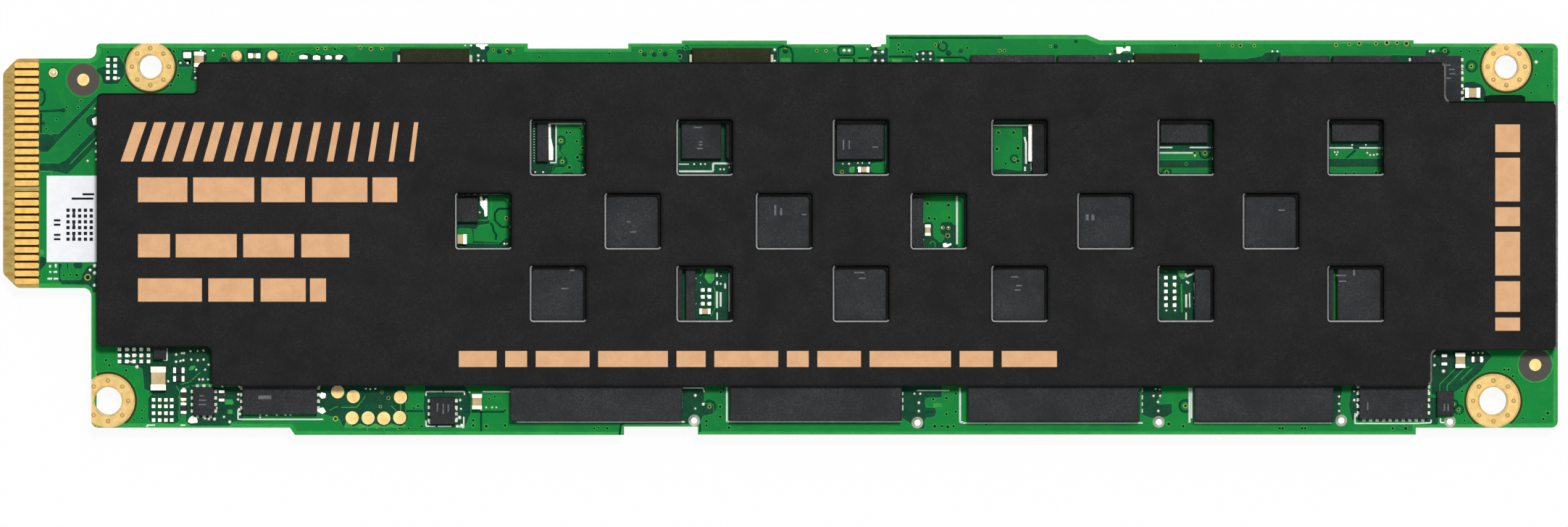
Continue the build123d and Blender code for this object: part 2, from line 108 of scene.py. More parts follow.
class Reading:  # one varying number; a sum on it adds its Math nodes
    def __init__(self, bench, socket):
        self.bench = bench
        self.socket = socket

    def math(self, operation, *values):
        return self.bench.math(operation, *values)

    def __add__(self, other):
        return self.math("ADD", self, other)

    def __radd__(self, other):
        return self.math("ADD", other, self)

    def __sub__(self, other):
        return self.math("SUBTRACT", self, other)

    def __rsub__(self, other):
        return self.math("SUBTRACT", other, self)

    def __mul__(self, other):
        return self.math("MULTIPLY", self, other)

    def __rmul__(self, other):
        return self.math("MULTIPLY", other, self)

    def __pow__(self, power):
        return self.math("POWER", self, power)

    def orMore(self, other):
        return self.math("MAXIMUM", self, other)

    def above(self, edge, blur):  # 0 below the edge, 1 above it, smooth over the blur
        sockets = {"Value": self, "From Min": edge - blur, "From Max": edge + blur}
        return self.bench.add("ShaderNodeMapRange", {"interpolation_type": "SMOOTHSTEP"}, sockets)

    def below(self, edge, blur):
        return 1 - self.above(edge, blur)


class Bench:  # a node tree on which nodes are set out
    def __init__(self, tree):
        self.tree = tree

    def add(self, kind, settings=None, sockets=None, output=0):
        node = self.tree.nodes.new(kind)
        for key, value in (settings or {}).items():
            setattr(node, key, value)
        for key, value in (sockets or {}).items():
            if isinstance(value, Reading):
                self.tree.links.new(value.socket, node.inputs[key])
            else:
                node.inputs[key].default_value = value
        return Reading(self, node.outputs[output]) if len(node.outputs) else None

    def math(self, operation, *values):
        return self.add("ShaderNodeMath", {"operation": operation}, dict(enumerate(values)))


class Finish(Bench):  # a material of this object
    def __init__(self, name):
        self.material = bpy.data.materials.new(name)
        self.material.use_nodes = True
        super().__init__(self.material.node_tree)
        self.tree.nodes.clear()
        self.place = self.add("ShaderNodeTexCoord", output="Object")
        self.x, self.y, self.z = [
            self.add("ShaderNodeSeparateXYZ", None, {0: self.place}, axis) for axis in "XYZ"
        ]

    def noise(self, size, detail=3.0, roughness=0.5, distortion=0.0, stretch=None):
        place = self.place
        if stretch:
            place = self.add("ShaderNodeMapping", None, {"Vector": place, "Scale": stretch})
        sockets = {"Vector": place, "Scale": 1 / size, "Detail": detail, "Roughness": roughness}
        sockets["Distortion"] = distortion
        return self.add("ShaderNodeTexNoise", None, sockets)

    def fibres(self, size, thin=0.035):  # thin curly marks along the middle value of a bent noise
        wave = self.noise(size, 2.0, 0.55, 1.4)
        return 1 - self.math("ABSOLUTE", wave - 0.5).above(thin, thin * 0.8)

    def blend(self, under, over, share):  # 6, 7 and 2 are the Mix node's colour sockets
        return self.add("ShaderNodeMix", {"data_type": "RGBA"}, {0: share, 6: under, 7: over}, 2)

    def distance(self, point):  # from a point of the photo, on the board
        right = self.x - across(point[0])
        up = self.y - along(point[1])
        return (right * right + up * up) ** 0.5

    def close(self, color, roughness, metallic, bump, depth, strength=0.5, specular=0.5):
        relief = self.add("ShaderNodeBump", None, {"Strength": strength, "Distance": depth, "Height": bump})
        sockets = {"Base Color": color, "Roughness": roughness, "Metallic": metallic, "Normal": relief}
        sockets["Specular IOR Level"] = specular
        shader = self.add("ShaderNodeBsdfPrincipled", None, sockets)
        self.add("ShaderNodeOutputMaterial", None, {"Surface": shader})
        return self.material


def shade(red, green, blue):  # a screen colour of 0 to 255 as the light values of a shader
    values = [channel / 255 for channel in (red, green, blue)]
    return tuple(v / 12.92 if v < 0.04045 else ((v + 0.055) / 1.055) ** 2.4 for v in values) + (1.0,)


# Materials

boardLook = {
    "copper": shade(0, 132, 54),
    "copperDeep": shade(0, 110, 54),
    "copperPaleAndHighlight": shade(36, 154, 52),
    "bare": shade(192, 166, 98),
    "bareDeep": shade(162, 132, 70),
    "shadeBetweenContacts": shade(40, 25, 4),
    "side": shade(152, 160, 102),
    "sideDeep": shade(128, 142, 88),
    "fiducial": shade(82, 77, 72),
    "grooveShade": shade(46, 38, 10),
    "ply": 0.2 * mm,
    "skin": 0.02 * mm,  # mask at both faces, above and below the plies
    "tongueEnd": 54,
    "clearGap": 0.16 * mm,  # to either side of the middle between the two groups of contacts
    "fiducialPlaces": [(115, 110), (2118.7, 503.4)],
    "fiducialRadius": 22.5,
    "fiducialRim": 2,
    "rings": [((207.5, 92), 34), ((2079, 92), 34), ((149, 553), 37.2), ((2061, 553), 37.2)],
    "grooveFrom": 0.2, "grooveTo": 3.2, "highlightFrom": 3.4, "highlightTo": 4.6,  # outwards from each ring
    "cornerRings": [((149, 553), 133, 586), ((2061, 553), -100, 586)],
    "cornerReach": 44,
}


def makeBoardFinish():
    look = boardLook
    finish = Finish("solderMask")
    broad = finish.noise(6 * mm, 2.0, 0.5)
    cloudy = finish.noise(1.2 * mm, 3.0, 0.6)
    color = finish.blend(look["copper"], look["copperDeep"], broad.below(0.42, 0.2) * 0.6)
    color = finish.blend(color, look["copperPaleAndHighlight"], cloudy.above(0.62, 0.16) * 0.35)
    # painted shade rings each gold ring where a groove would be, with a ring of painted highlight just
    # outside it
    for centre, radius in look["rings"]:
        away = finish.distance(centre)
        maskRimHighlight = away.above((radius + look["highlightFrom"]) * pixel, 0.6 * pixel)
        maskRimHighlight = maskRimHighlight * away.below((radius + look["highlightTo"]) * pixel, 0.8 * pixel)
        color = finish.blend(color, look["copperPaleAndHighlight"], maskRimHighlight * 0.7)
        grooveShade = away.above((radius + look["grooveFrom"]) * pixel, 0.4 * pixel)
        grooveShade = grooveShade * away.below((radius + look["grooveTo"]) * pixel, 0.8 * pixel)
        color = finish.blend(color, look["grooveShade"], grooveShade * 0.92)
    # bare laminate at the corners that cut two of the rings
    for centre, column, level in look["cornerRings"]:
        edge = finish.x.below(across(column), pixel).orMore(finish.y.below(along(level), pixel))
        near = finish.distance(centre).below(look["cornerReach"] * pixel, pixel)
        color = finish.blend(color, look["bare"], edge * near)
    # the mask leaves the two fiducials clear; a lighter ring at each one's edge is a painted highlight
    for centre in look["fiducialPlaces"]:
        away = finish.distance(centre)
        radius = look["fiducialRadius"] * pixel
        fiducialRimHighlight = away.above(radius, pixel) * away.below(radius + look["fiducialRim"] * pixel, pixel)
        upper = finish.z.above((boardTop + boardBottom) / 2, 0.1 * mm)
        color = finish.blend(color, look["copperPaleAndHighlight"], fiducialRimHighlight * upper * 0.7)
        color = finish.blend(color, look["fiducial"], away.below(radius, pixel) * upper)
    # the tongue's tip is bare and stained, with painted shade between the contacts
    stain = finish.noise(0.5 * mm, 4.0, 0.6, 0.0, (0.4, 1.6, 1.0))
    bare = finish.blend(look["bareDeep"], look["bare"], stain.above(0.45, 0.2))
    tip = finish.x.below(across(look["tongueEnd"]), 1.2 * pixel)
    color = finish.blend(color, bare, tip)
    rows = tip * finish.x.above(contactLow.x, pixel)
    rows = rows * finish.y.above(contactLow.y, pixel) * finish.y.below(contactHigh.y, pixel)
    near = finish.math("ABSOLUTE", finish.y - groupGap)
    rows = rows * near.above(look["clearGap"], 0.03 * mm)
    color = finish.blend(color, look["shadeBetweenContacts"], rows)
    # the cut sides show the laminate's layers
    strands = finish.noise(0.06 * mm, 2.0, 0.5, 0.0, (0.12, 0.12, 1.0))
    plies = finish.math("SINE", finish.z * (2 * math.pi / look["ply"])) * 0.5 + 0.5
    side = finish.blend(look["sideDeep"], look["side"], (plies * 0.5 + strands * 0.5).above(0.5, 0.3))
    between = finish.z.above(boardBottom + look["skin"], 0.01 * mm)
    between = between * finish.z.below(boardTop - look["skin"], 0.01 * mm)
    bevelEnd = cadLow.x + contact["bevelLength"] + 0.05 * mm
    color = finish.blend(color, side, between * finish.x.above(bevelEnd, 0.02 * mm))
    weave = finish.noise(0.18 * mm, 2.0, 0.5)
    rough = 0.34 + weave * 0.08 + tip * 0.2 + between * 0.2
    return finish.close(color, rough, 0.0, weave + cloudy * 2, 0.012 * mm, 0.4, specular=0.06)


def makePlainFinish(name, deep, light, roughness, grain=0.15 * mm, wear=0.12, metallic=0.0, relief=0.35,
                    specular=0.5):  # two shades in soft clouds, with a fine grain
    finish = Finish(name)
    cloudy = finish.noise(grain * 9, 3.0, 0.55)
    fine = finish.noise(grain, 2.0, 0.6)
    color = finish.blend(deep, light, (cloudy * 0.6 + fine * 0.4).above(0.5, 0.16))
    rough = roughness - wear / 2 + cloudy * wear
    return finish.close(color, rough, metallic, fine, grain * 0.12, relief, specular)


def makeFibreFinish(name, deep, light, fibre, roughness, size, share, relief, specular):  # curly pale marks
    finish = Finish(name)
    cloudy = finish.noise(4 * mm, 3.0, 0.55)
    fine = finish.noise(0.09 * mm, 2.0, 0.6)
    strands = finish.fibres(size)
    patchy = finish.noise(2.2 * mm, 3.0, 0.6).above(0.46, 0.3)
    color = finish.blend(deep, light, (cloudy * 0.55 + fine * 0.45).above(0.5, 0.18))
    color = finish.blend(color, fibre, strands * patchy * share)
    bump = fine * 0.6 + strands * 0.5
    return finish.close(color, roughness + fine * 0.1, 0.0, bump, 0.012 * mm, relief, specular)


punchedHighlightLook = {
    "bare": shade(250, 251, 252),
    "bareDeep": shade(214, 216, 218),
    "coated": shade(16, 16, 16),
    "bareShare": 0.74,
}


def makePunchedHighlight():  # the punched wall: bare metal on its lower part with fine lines dragged down it, coated above; it goes only on walls turned toward the key light, so the bright lower part is a painted highlight and the dark upper part painted shade
    look = punchedHighlightLook
    finish = Finish("punchedWall")
    drag = finish.noise(0.08 * mm, 2.0, 0.6, 0.0, (1.0, 1.0, 0.2))
    edge = sheetLow.z + look["bareShare"] * (sheetHigh.z - sheetLow.z)
    coated = finish.z.above(edge, 0.02 * mm)
    color = finish.blend(look["bareDeep"], look["bare"], drag.above(0.42, 0.2))
    color = finish.blend(color, look["coated"], coated)
    return finish.close(color, 0.35 + coated * 0.25, (1 - coated) * 0.2, drag, 0.01 * mm)


finishes = {
    "mask": makeBoardFinish(),
    "maskDarkAndShade": makePlainFinish("maskOverLaminate", shade(0, 56, 38), shade(0, 80, 48), 0.4, specular=0.06),
    "maskLightAndHighlight": makePlainFinish(
        "maskOverTrace", shade(14, 140, 54), shade(52, 168, 70), 0.36, specular=0.15
    ),
    "maskStepHighlight": makePlainFinish("maskAtStep", shade(10, 138, 64), shade(44, 158, 80), 0.36, specular=0.15),
    "maskEdgeHighlight": makePlainFinish("maskAtEdge", shade(0, 144, 56), shade(24, 160, 54), 0.36, specular=0.15),
    "gold": makePlainFinish(
        "goldPlate", shade(172, 140, 78), shade(196, 166, 100), 0.44, 0.05 * mm, 0.12, 0.4, 0.25
    ),
    "contactGold": makePlainFinish(
        "goldContact", shade(180, 136, 56), shade(207, 165, 80), 0.42, 0.05 * mm, 0.12, 0.4, 0.25
    ),
    "paleGoldAndHighlight": makePlainFinish(
        "goldEdge", shade(182, 156, 90), shade(208, 182, 118), 0.4, 0.05 * mm, 0.1, 0.4, 0.2
    ),
    "goldDeep": makePlainFinish("goldShade", shade(150, 108, 52), shade(184, 140, 78), 0.5, metallic=0.4),
    "goldDull": makePlainFinish("goldUnderMask", shade(132, 148, 52), shade(186, 192, 92), 0.5, specular=0.2),
    "solder": makePlainFinish(
        "brightSolder", shade(198, 193, 178), shade(236, 232, 220), 0.36, 0.12 * mm, 0.2, 0.4, 0.5
    ),
    "dullSolder": makePlainFinish(
        "dullSolder", shade(142, 142, 132), shade(196, 194, 184), 0.4, 0.1 * mm, 0.2, 0.4, 0.5
    ),
    "tin": makePlainFinish(
        "dullTin", shade(122, 120, 104), shade(164, 160, 142), 0.45, 0.1 * mm, metallic=0.6
    ),
    "silk": makePlainFinish(
        "whiteInk", shade(222, 238, 224), shade(246, 252, 246), 0.6, 0.05 * mm, specular=0.2
    ),
    "sheet": makeFibreFinish(
        "sheetCoat", shade(29, 29, 29), shade(34, 34, 34), shade(66, 66, 66),
        0.62, 0.15 * mm, 0.45, 0.3, specular=0.04,
    ),
    # rims turned toward the key light: a painted highlight
    "sheetRimHighlight": makePlainFinish(
        "wornRim", shade(70, 70, 70), shade(122, 122, 122), 0.4, 0.2 * mm, specular=0.3
    ),
    # lips on the windows' right sides: a painted highlight
    "sheetLipHighlight": makePlainFinish("wornLip", shade(48, 48, 48), shade(76, 76, 76), 0.4, 0.2 * mm, specular=0.2),
    # walls turned away from the key light, and a line inside the upper rim: painted shade, darker than the
    # coat
    "sheetWallShade": makePlainFinish(
        "coatedWall", shade(10, 10, 10), shade(20, 20, 20), 0.6, 0.1 * mm, specular=0.04
    ),
    "punchedHighlight": makePunchedHighlight(),
    "print": makePlainFinish(
        "copperInk", shade(216, 166, 122), shade(228, 180, 134), 0.5, 0.1 * mm, specular=0.1
    ),
    "film": makePlainFinish("adhesive", shade(16, 16, 16), shade(26, 26, 26), 0.7, specular=0.05),
    "label": makePlainFinish(
        "labelPaper", shade(240, 243, 248), shade(250, 251, 253), 0.7, 0.06 * mm, specular=0.1
    ),
    "ink": makePlainFinish("labelInk", shade(24, 24, 28), shade(44, 44, 48), 0.6, 0.06 * mm, specular=0.05),
    "package": makeFibreFinish(
        "packageMoulding", shade(37, 38, 39), shade(46, 47, 48), shade(94, 96, 98),
        0.55, 0.14 * mm, 0.5, 0.45, specular=0.06,
    ),
    "mark": makePlainFinish(
        "laserMark", shade(84, 86, 88), shade(116, 118, 120), 0.6, 0.04 * mm, specular=0.1
    ),
    "iron": makePlainFinish(
        "pressedIron", shade(26, 27, 28), shade(40, 41, 42), 0.6, 0.06 * mm, specular=0.06
    ),
    "olive": makeFibreFinish(
        "oliveMoulding", shade(32, 37, 20), shade(42, 47, 28), shade(86, 82, 54),
        0.5, 0.2 * mm, 0.4, 0.3, specular=0.06,
    ),
    "black": makeFibreFinish(
        "blackMoulding", shade(38, 38, 40), shade(48, 48, 50), shade(112, 114, 114),
        0.5, 0.14 * mm, 0.6, 0.4, specular=0.06,
    ),
    "ceramic": makePlainFinish(
        "tanCeramic", shade(188, 162, 114), shade(214, 192, 148), 0.45, 0.1 * mm, specular=0.2
    ),
    "glaze": makePlainFinish(
        "resistorGlaze", shade(18, 18, 20), shade(34, 34, 36), 0.25, 0.1 * mm, specular=0.2
    ),
    "gap": makePlainFinish("deepShade", shade(2, 20, 12), shade(8, 34, 20), 0.6, specular=0.05),
}
print("materials:", len(finishes))

nodeFinishes = {
    "mask": ["circuit_board"],
    "contactGold": ["top_edge_contacts", "bottom_edge_contacts"],
    "paleGoldAndHighlight": ["fiducial_dots", "test_pads"],
    "gold": [name for name in nodes if name.startswith("plated_hole")],
    "solder": [
        "solder_pads", "solder_mounds", "inductor_terminals", "ceramic_capacitor_ends", "resistor_ends",
    ],
    "dullSolder": ["chip_pads"],
    "tin": ["holdup_terminals"],
    "sheet": ["heat_spreader"],
    "film": ["thermal_film"],
    "label": ["paper_label"],
    "iron": ["power_inductor_1", "power_inductor_2"],
    "olive": [f"holdup_capacitor_{index}" for index in (1, 2, 3)],
    "black": [f"polymer_capacitor_{index}" for index in (1, 2, 3, 4)],
    "ceramic": ["ceramic_capacitor_bodies"],
    "glaze": ["resistor_bodies"],
}
dressed = {name for names in nodeFinishes.values() for name in names}
nodeFinishes["package"] = [name for name in nodes if name not in dressed]
for look, names in nodeFinishes.items():
    for name in names:
        mesh = nodes[name].data
        if not mesh.materials:
            mesh.materials.append(None)
        for index in range(len(mesh.materials)):
            nodes[name].material_slots[index].material = finishes[look]
print("CAD nodes dressed")


# Geometry nodes


class Recipe(Bench):  # a geometry tree with named inputs
    def __init__(self, name, inputs):
        super().__init__(bpy.data.node_groups.new(name, "GeometryNodeTree"))
        face = self.tree.interface
        face.new_socket("Geometry", in_out="OUTPUT", socket_type="NodeSocketGeometry")
        face.new_socket("Geometry", in_out="INPUT", socket_type="NodeSocketGeometry")
        for label, kind in inputs.items():
            face.new_socket(label, in_out="INPUT", socket_type=kind)
        entry = self.tree.nodes.new("NodeGroupInput")
        self.given = {socket.name: Reading(self, socket) for socket in entry.outputs if socket.name}
        self.identifiers = {item.name: item.identifier for item in face.items_tree if item.in_out == "INPUT"}

    def roundedLines(self):  # the wire it is given, with its turns rounded
        lines = self.add("GeometryNodeMeshToCurve", None, {0: self.given["Geometry"]})
        rounding = {0: lines, "Count": meshSteps["turn"], "Radius": self.given["Turn"], "Limit Radius": True}
        return self.add("GeometryNodeFilletCurve", {"mode": "POLY"}, rounding)

    def sizedCopies(self, shape):  # one copy on each point, as wide as the point says
        shape = self.add("GeometryNodeSetShadeSmooth", None, {0: shape})
        size = self.add("GeometryNodeInputNamedAttribute", {"data_type": "FLOAT"}, {"Name": "size"})
        scale = self.add("ShaderNodeCombineXYZ", None, {0: size, 1: size, 2: size * self.given["Flatness"]})
        placed = {0: self.given["Geometry"], "Instance": shape, "Scale": scale}
        return self.add("GeometryNodeInstanceOnPoints", None, placed)

    def serve(self, shape):
        whole = self.add("GeometryNodeRealizeInstances", None, {0: shape})
        painted = self.add("GeometryNodeSetMaterial", None, {0: whole, 2: self.given["Material"]})
        last = self.tree.nodes.new("NodeGroupOutput")
        self.tree.links.new(painted.socket, last.inputs[0])


meshSteps = {"turn": 3, "dropRings": 6, "hoop": 14, "hoopSection": 6, "ball": 8, "ballRings": 5}


def grow(name, mesh, recipe, look, slot, **sizes):  # runs a recipe and keeps its result as a plain mesh
    piece = bpy.data.objects.new(name, mesh)
    scene.collection.objects.link(piece)
    modifier = piece.modifiers.new("recipe", "NODES")
    modifier.node_group = recipe.tree
    modifier[recipe.identifiers["Material"]] = finishes[look]
    for label, value in sizes.items():
        modifier[recipe.identifiers[label]] = value
    makePlain(piece)
    piece.data.name = name
    settle(piece)


def makePlain(piece):  # the mesh as its modifiers leave it
    bpy.context.view_layer.update()
    graph = bpy.context.evaluated_depsgraph_get()
    result = bpy.data.meshes.new_from_object(piece.evaluated_get(graph))
    piece.modifiers.clear()
    piece.data = result


def settle(piece):
    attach(piece, "root")
    print("made", piece.name, len(piece.data.polygons))


def makeRibbonRecipe():  # lines as flat strips with rounded turns
    recipe = Recipe("ribbons", {
        "Material": "NodeSocketMaterial", "Width": "NodeSocketFloat", "Height": "NodeSocketFloat",
        "Turn": "NodeSocketFloat",
    })
    given = recipe.given
    lines = recipe.add("GeometryNodeSetCurveNormal", {"mode": "Z_UP"}, {0: recipe.roundedLines()})
    section = {"Width": given["Width"], "Height": given["Height"]}
    section = recipe.add("GeometryNodeCurvePrimitiveQuadrilateral", None, section)
    recipe.serve(recipe.add("GeometryNodeCurveToMesh", None, {0: lines, 1: section, "Fill Caps": True}))
    return recipe


def makeFieldRecipe():  # closed outlines as thin filled plates
    recipe = Recipe("fields", {
        "Material": "NodeSocketMaterial", "Level": "NodeSocketVector", "Height": "NodeSocketFloat",
        "Turn": "NodeSocketFloat",
    })
    given = recipe.given
    each = recipe.add("GeometryNodeInputIndex")
    plate = {0: recipe.roundedLines(), "Group ID": each}
    plate = recipe.add("GeometryNodeFillCurve", {"mode": "NGONS"}, plate)
    raised = {0: plate, "Offset Scale": given["Height"], "Individual": False}
    raised = recipe.add("GeometryNodeExtrudeMesh", {"mode": "FACES"}, raised)
    recipe.serve(recipe.add("GeometryNodeTransform", None, {0: raised, 1: given["Level"]}))
    return recipe


def makeDropRecipe():  # low round drops
    recipe = Recipe("drops", {
        "Material": "NodeSocketMaterial", "Flatness": "NodeSocketFloat", "Segments": "NodeSocketInt",
    })
    ball = {"Segments": recipe.given["Segments"], "Rings": meshSteps["dropRings"], "Radius": 1.0}
    recipe.serve(recipe.sizedCopies(recipe.add("GeometryNodeMeshUVSphere", None, ball)))
    return recipe


def makeHoopRecipe():  # small raised hoops, as round plated holes show
    recipe = Recipe("hoops", {
        "Material": "NodeSocketMaterial", "Thickness": "NodeSocketFloat", "Flatness": "NodeSocketFloat",
    })
    loop = {"Resolution": meshSteps["hoop"], "Radius": 1.0}
    loop = recipe.add("GeometryNodeCurvePrimitiveCircle", None, loop)
    section = {"Resolution": meshSteps["hoopSection"], "Radius": recipe.given["Thickness"]}
    section = recipe.add("GeometryNodeCurvePrimitiveCircle", None, section)
    recipe.serve(recipe.sizedCopies(recipe.add("GeometryNodeCurveToMesh", None, {0: loop, 1: section})))
    return recipe


def makeBallRowRecipe():  # a row of solder balls round each outline
    recipe = Recipe("ballRows", {
        "Material": "NodeSocketMaterial", "Pitch": "NodeSocketFloat", "Radius": "NodeSocketFloat",
    })
    given = recipe.given
    rows = recipe.add("GeometryNodeMeshToCurve", None, {0: given["Geometry"]})
    rows = recipe.add("GeometryNodeResampleCurve", {"mode": "LENGTH"}, {0: rows, "Length": given["Pitch"]})
    ball = {"Segments": meshSteps["ball"], "Rings": meshSteps["ballRings"], "Radius": given["Radius"]}
    ball = recipe.add("GeometryNodeMeshUVSphere", None, ball)
    ball = recipe.add("GeometryNodeSetShadeSmooth", None, {0: ball})
    recipe.serve(recipe.add("GeometryNodeInstanceOnPoints", None, {0: rows, "Instance": ball}))
    return recipe


def makeBarRecipe():  # slanted plates, each as wide and as long as its point says
    recipe = Recipe("bars", {
        "Material": "NodeSocketMaterial", "Height": "NodeSocketFloat", "Slant": "NodeSocketFloat",
    })
    given = recipe.given
    outline = {}
    for index, (side, end) in enumerate(((-0.5, -0.5), (0.5, -0.5), (0.5, 0.5), (-0.5, 0.5))):
        corner = {0: given["Slant"] * end + side, 1: end}
        outline[f"Point {index + 1}"] = recipe.add("ShaderNodeCombineXYZ", None, corner)
    outline = recipe.add("GeometryNodeCurvePrimitiveQuadrilateral", {"mode": "POINTS"}, outline)
    plate = recipe.add("GeometryNodeFillCurve", {"mode": "NGONS"}, {0: outline})
    plate = recipe.add("GeometryNodeExtrudeMesh", {"mode": "FACES"}, {0: plate, "Offset Scale": 1.0})
    width = recipe.add("GeometryNodeInputNamedAttribute", {"data_type": "FLOAT"}, {"Name": "size"})
    length = recipe.add("GeometryNodeInputNamedAttribute", {"data_type": "FLOAT"}, {"Name": "length"})
    scale = recipe.add("ShaderNodeCombineXYZ", None, {0: width, 1: length, 2: given["Height"]})
    placed = {0: given["Geometry"], "Instance": plate, "Scale": scale}
    recipe.serve(recipe.add("GeometryNodeInstanceOnPoints", None, placed))
    return recipe


recipes = {
    "ribbon": makeRibbonRecipe(), "field": makeFieldRecipe(), "drop": makeDropRecipe(),
    "hoop": makeHoopRecipe(), "ballRow": makeBallRowRecipe(), "bar": makeBarRecipe(),
}


def wire(lines, height):  # photo points joined into lines; a line that ends where it starts is closed
    mesh = bpy.data.meshes.new("wire")
    points = []
    edges = []
    for line in lines:
        closed = line[0] == line[-1]
        corners = line[:-1] if closed else line
        start = len(points)
        points += [spot(point, height) for point in corners]
        edges += [(start + index, start + index + 1) for index in range(len(corners) - 1)]
        if closed:
            edges.append((len(points) - 1, start))
    mesh.from_pydata(points, edges, [])
    return mesh


def loops(outlines):
    return [outline + outline[:1] for outline in outlines]


def dots(marks, height):  # photo points with a width, and a length where they have one
    mesh = bpy.data.meshes.new("dots")
    mesh.from_pydata([spot(mark, height) for mark in marks], [], [])
    for index, label in ((2, "size"), (3, "length")):
        if len(marks[0]) > index:
            values = [mark[index] * pixel for mark in marks]
            mesh.attributes.new(label, "FLOAT", "POINT").data.foreach_set("value", values)
    return mesh


def row(first, last, count, width):  # evenly spaced dots from one photo point to another
    steps = [index / max(count - 1, 1) for index in range(count)]
    return [(first[0] + (last[0] - first[0]) * s, first[1] + (last[1] - first[1]) * s, width) for s in steps]


# Copper and laminate that show through the mask: dark fields have no copper under them, save the ones in the
# windows, which are painted shade

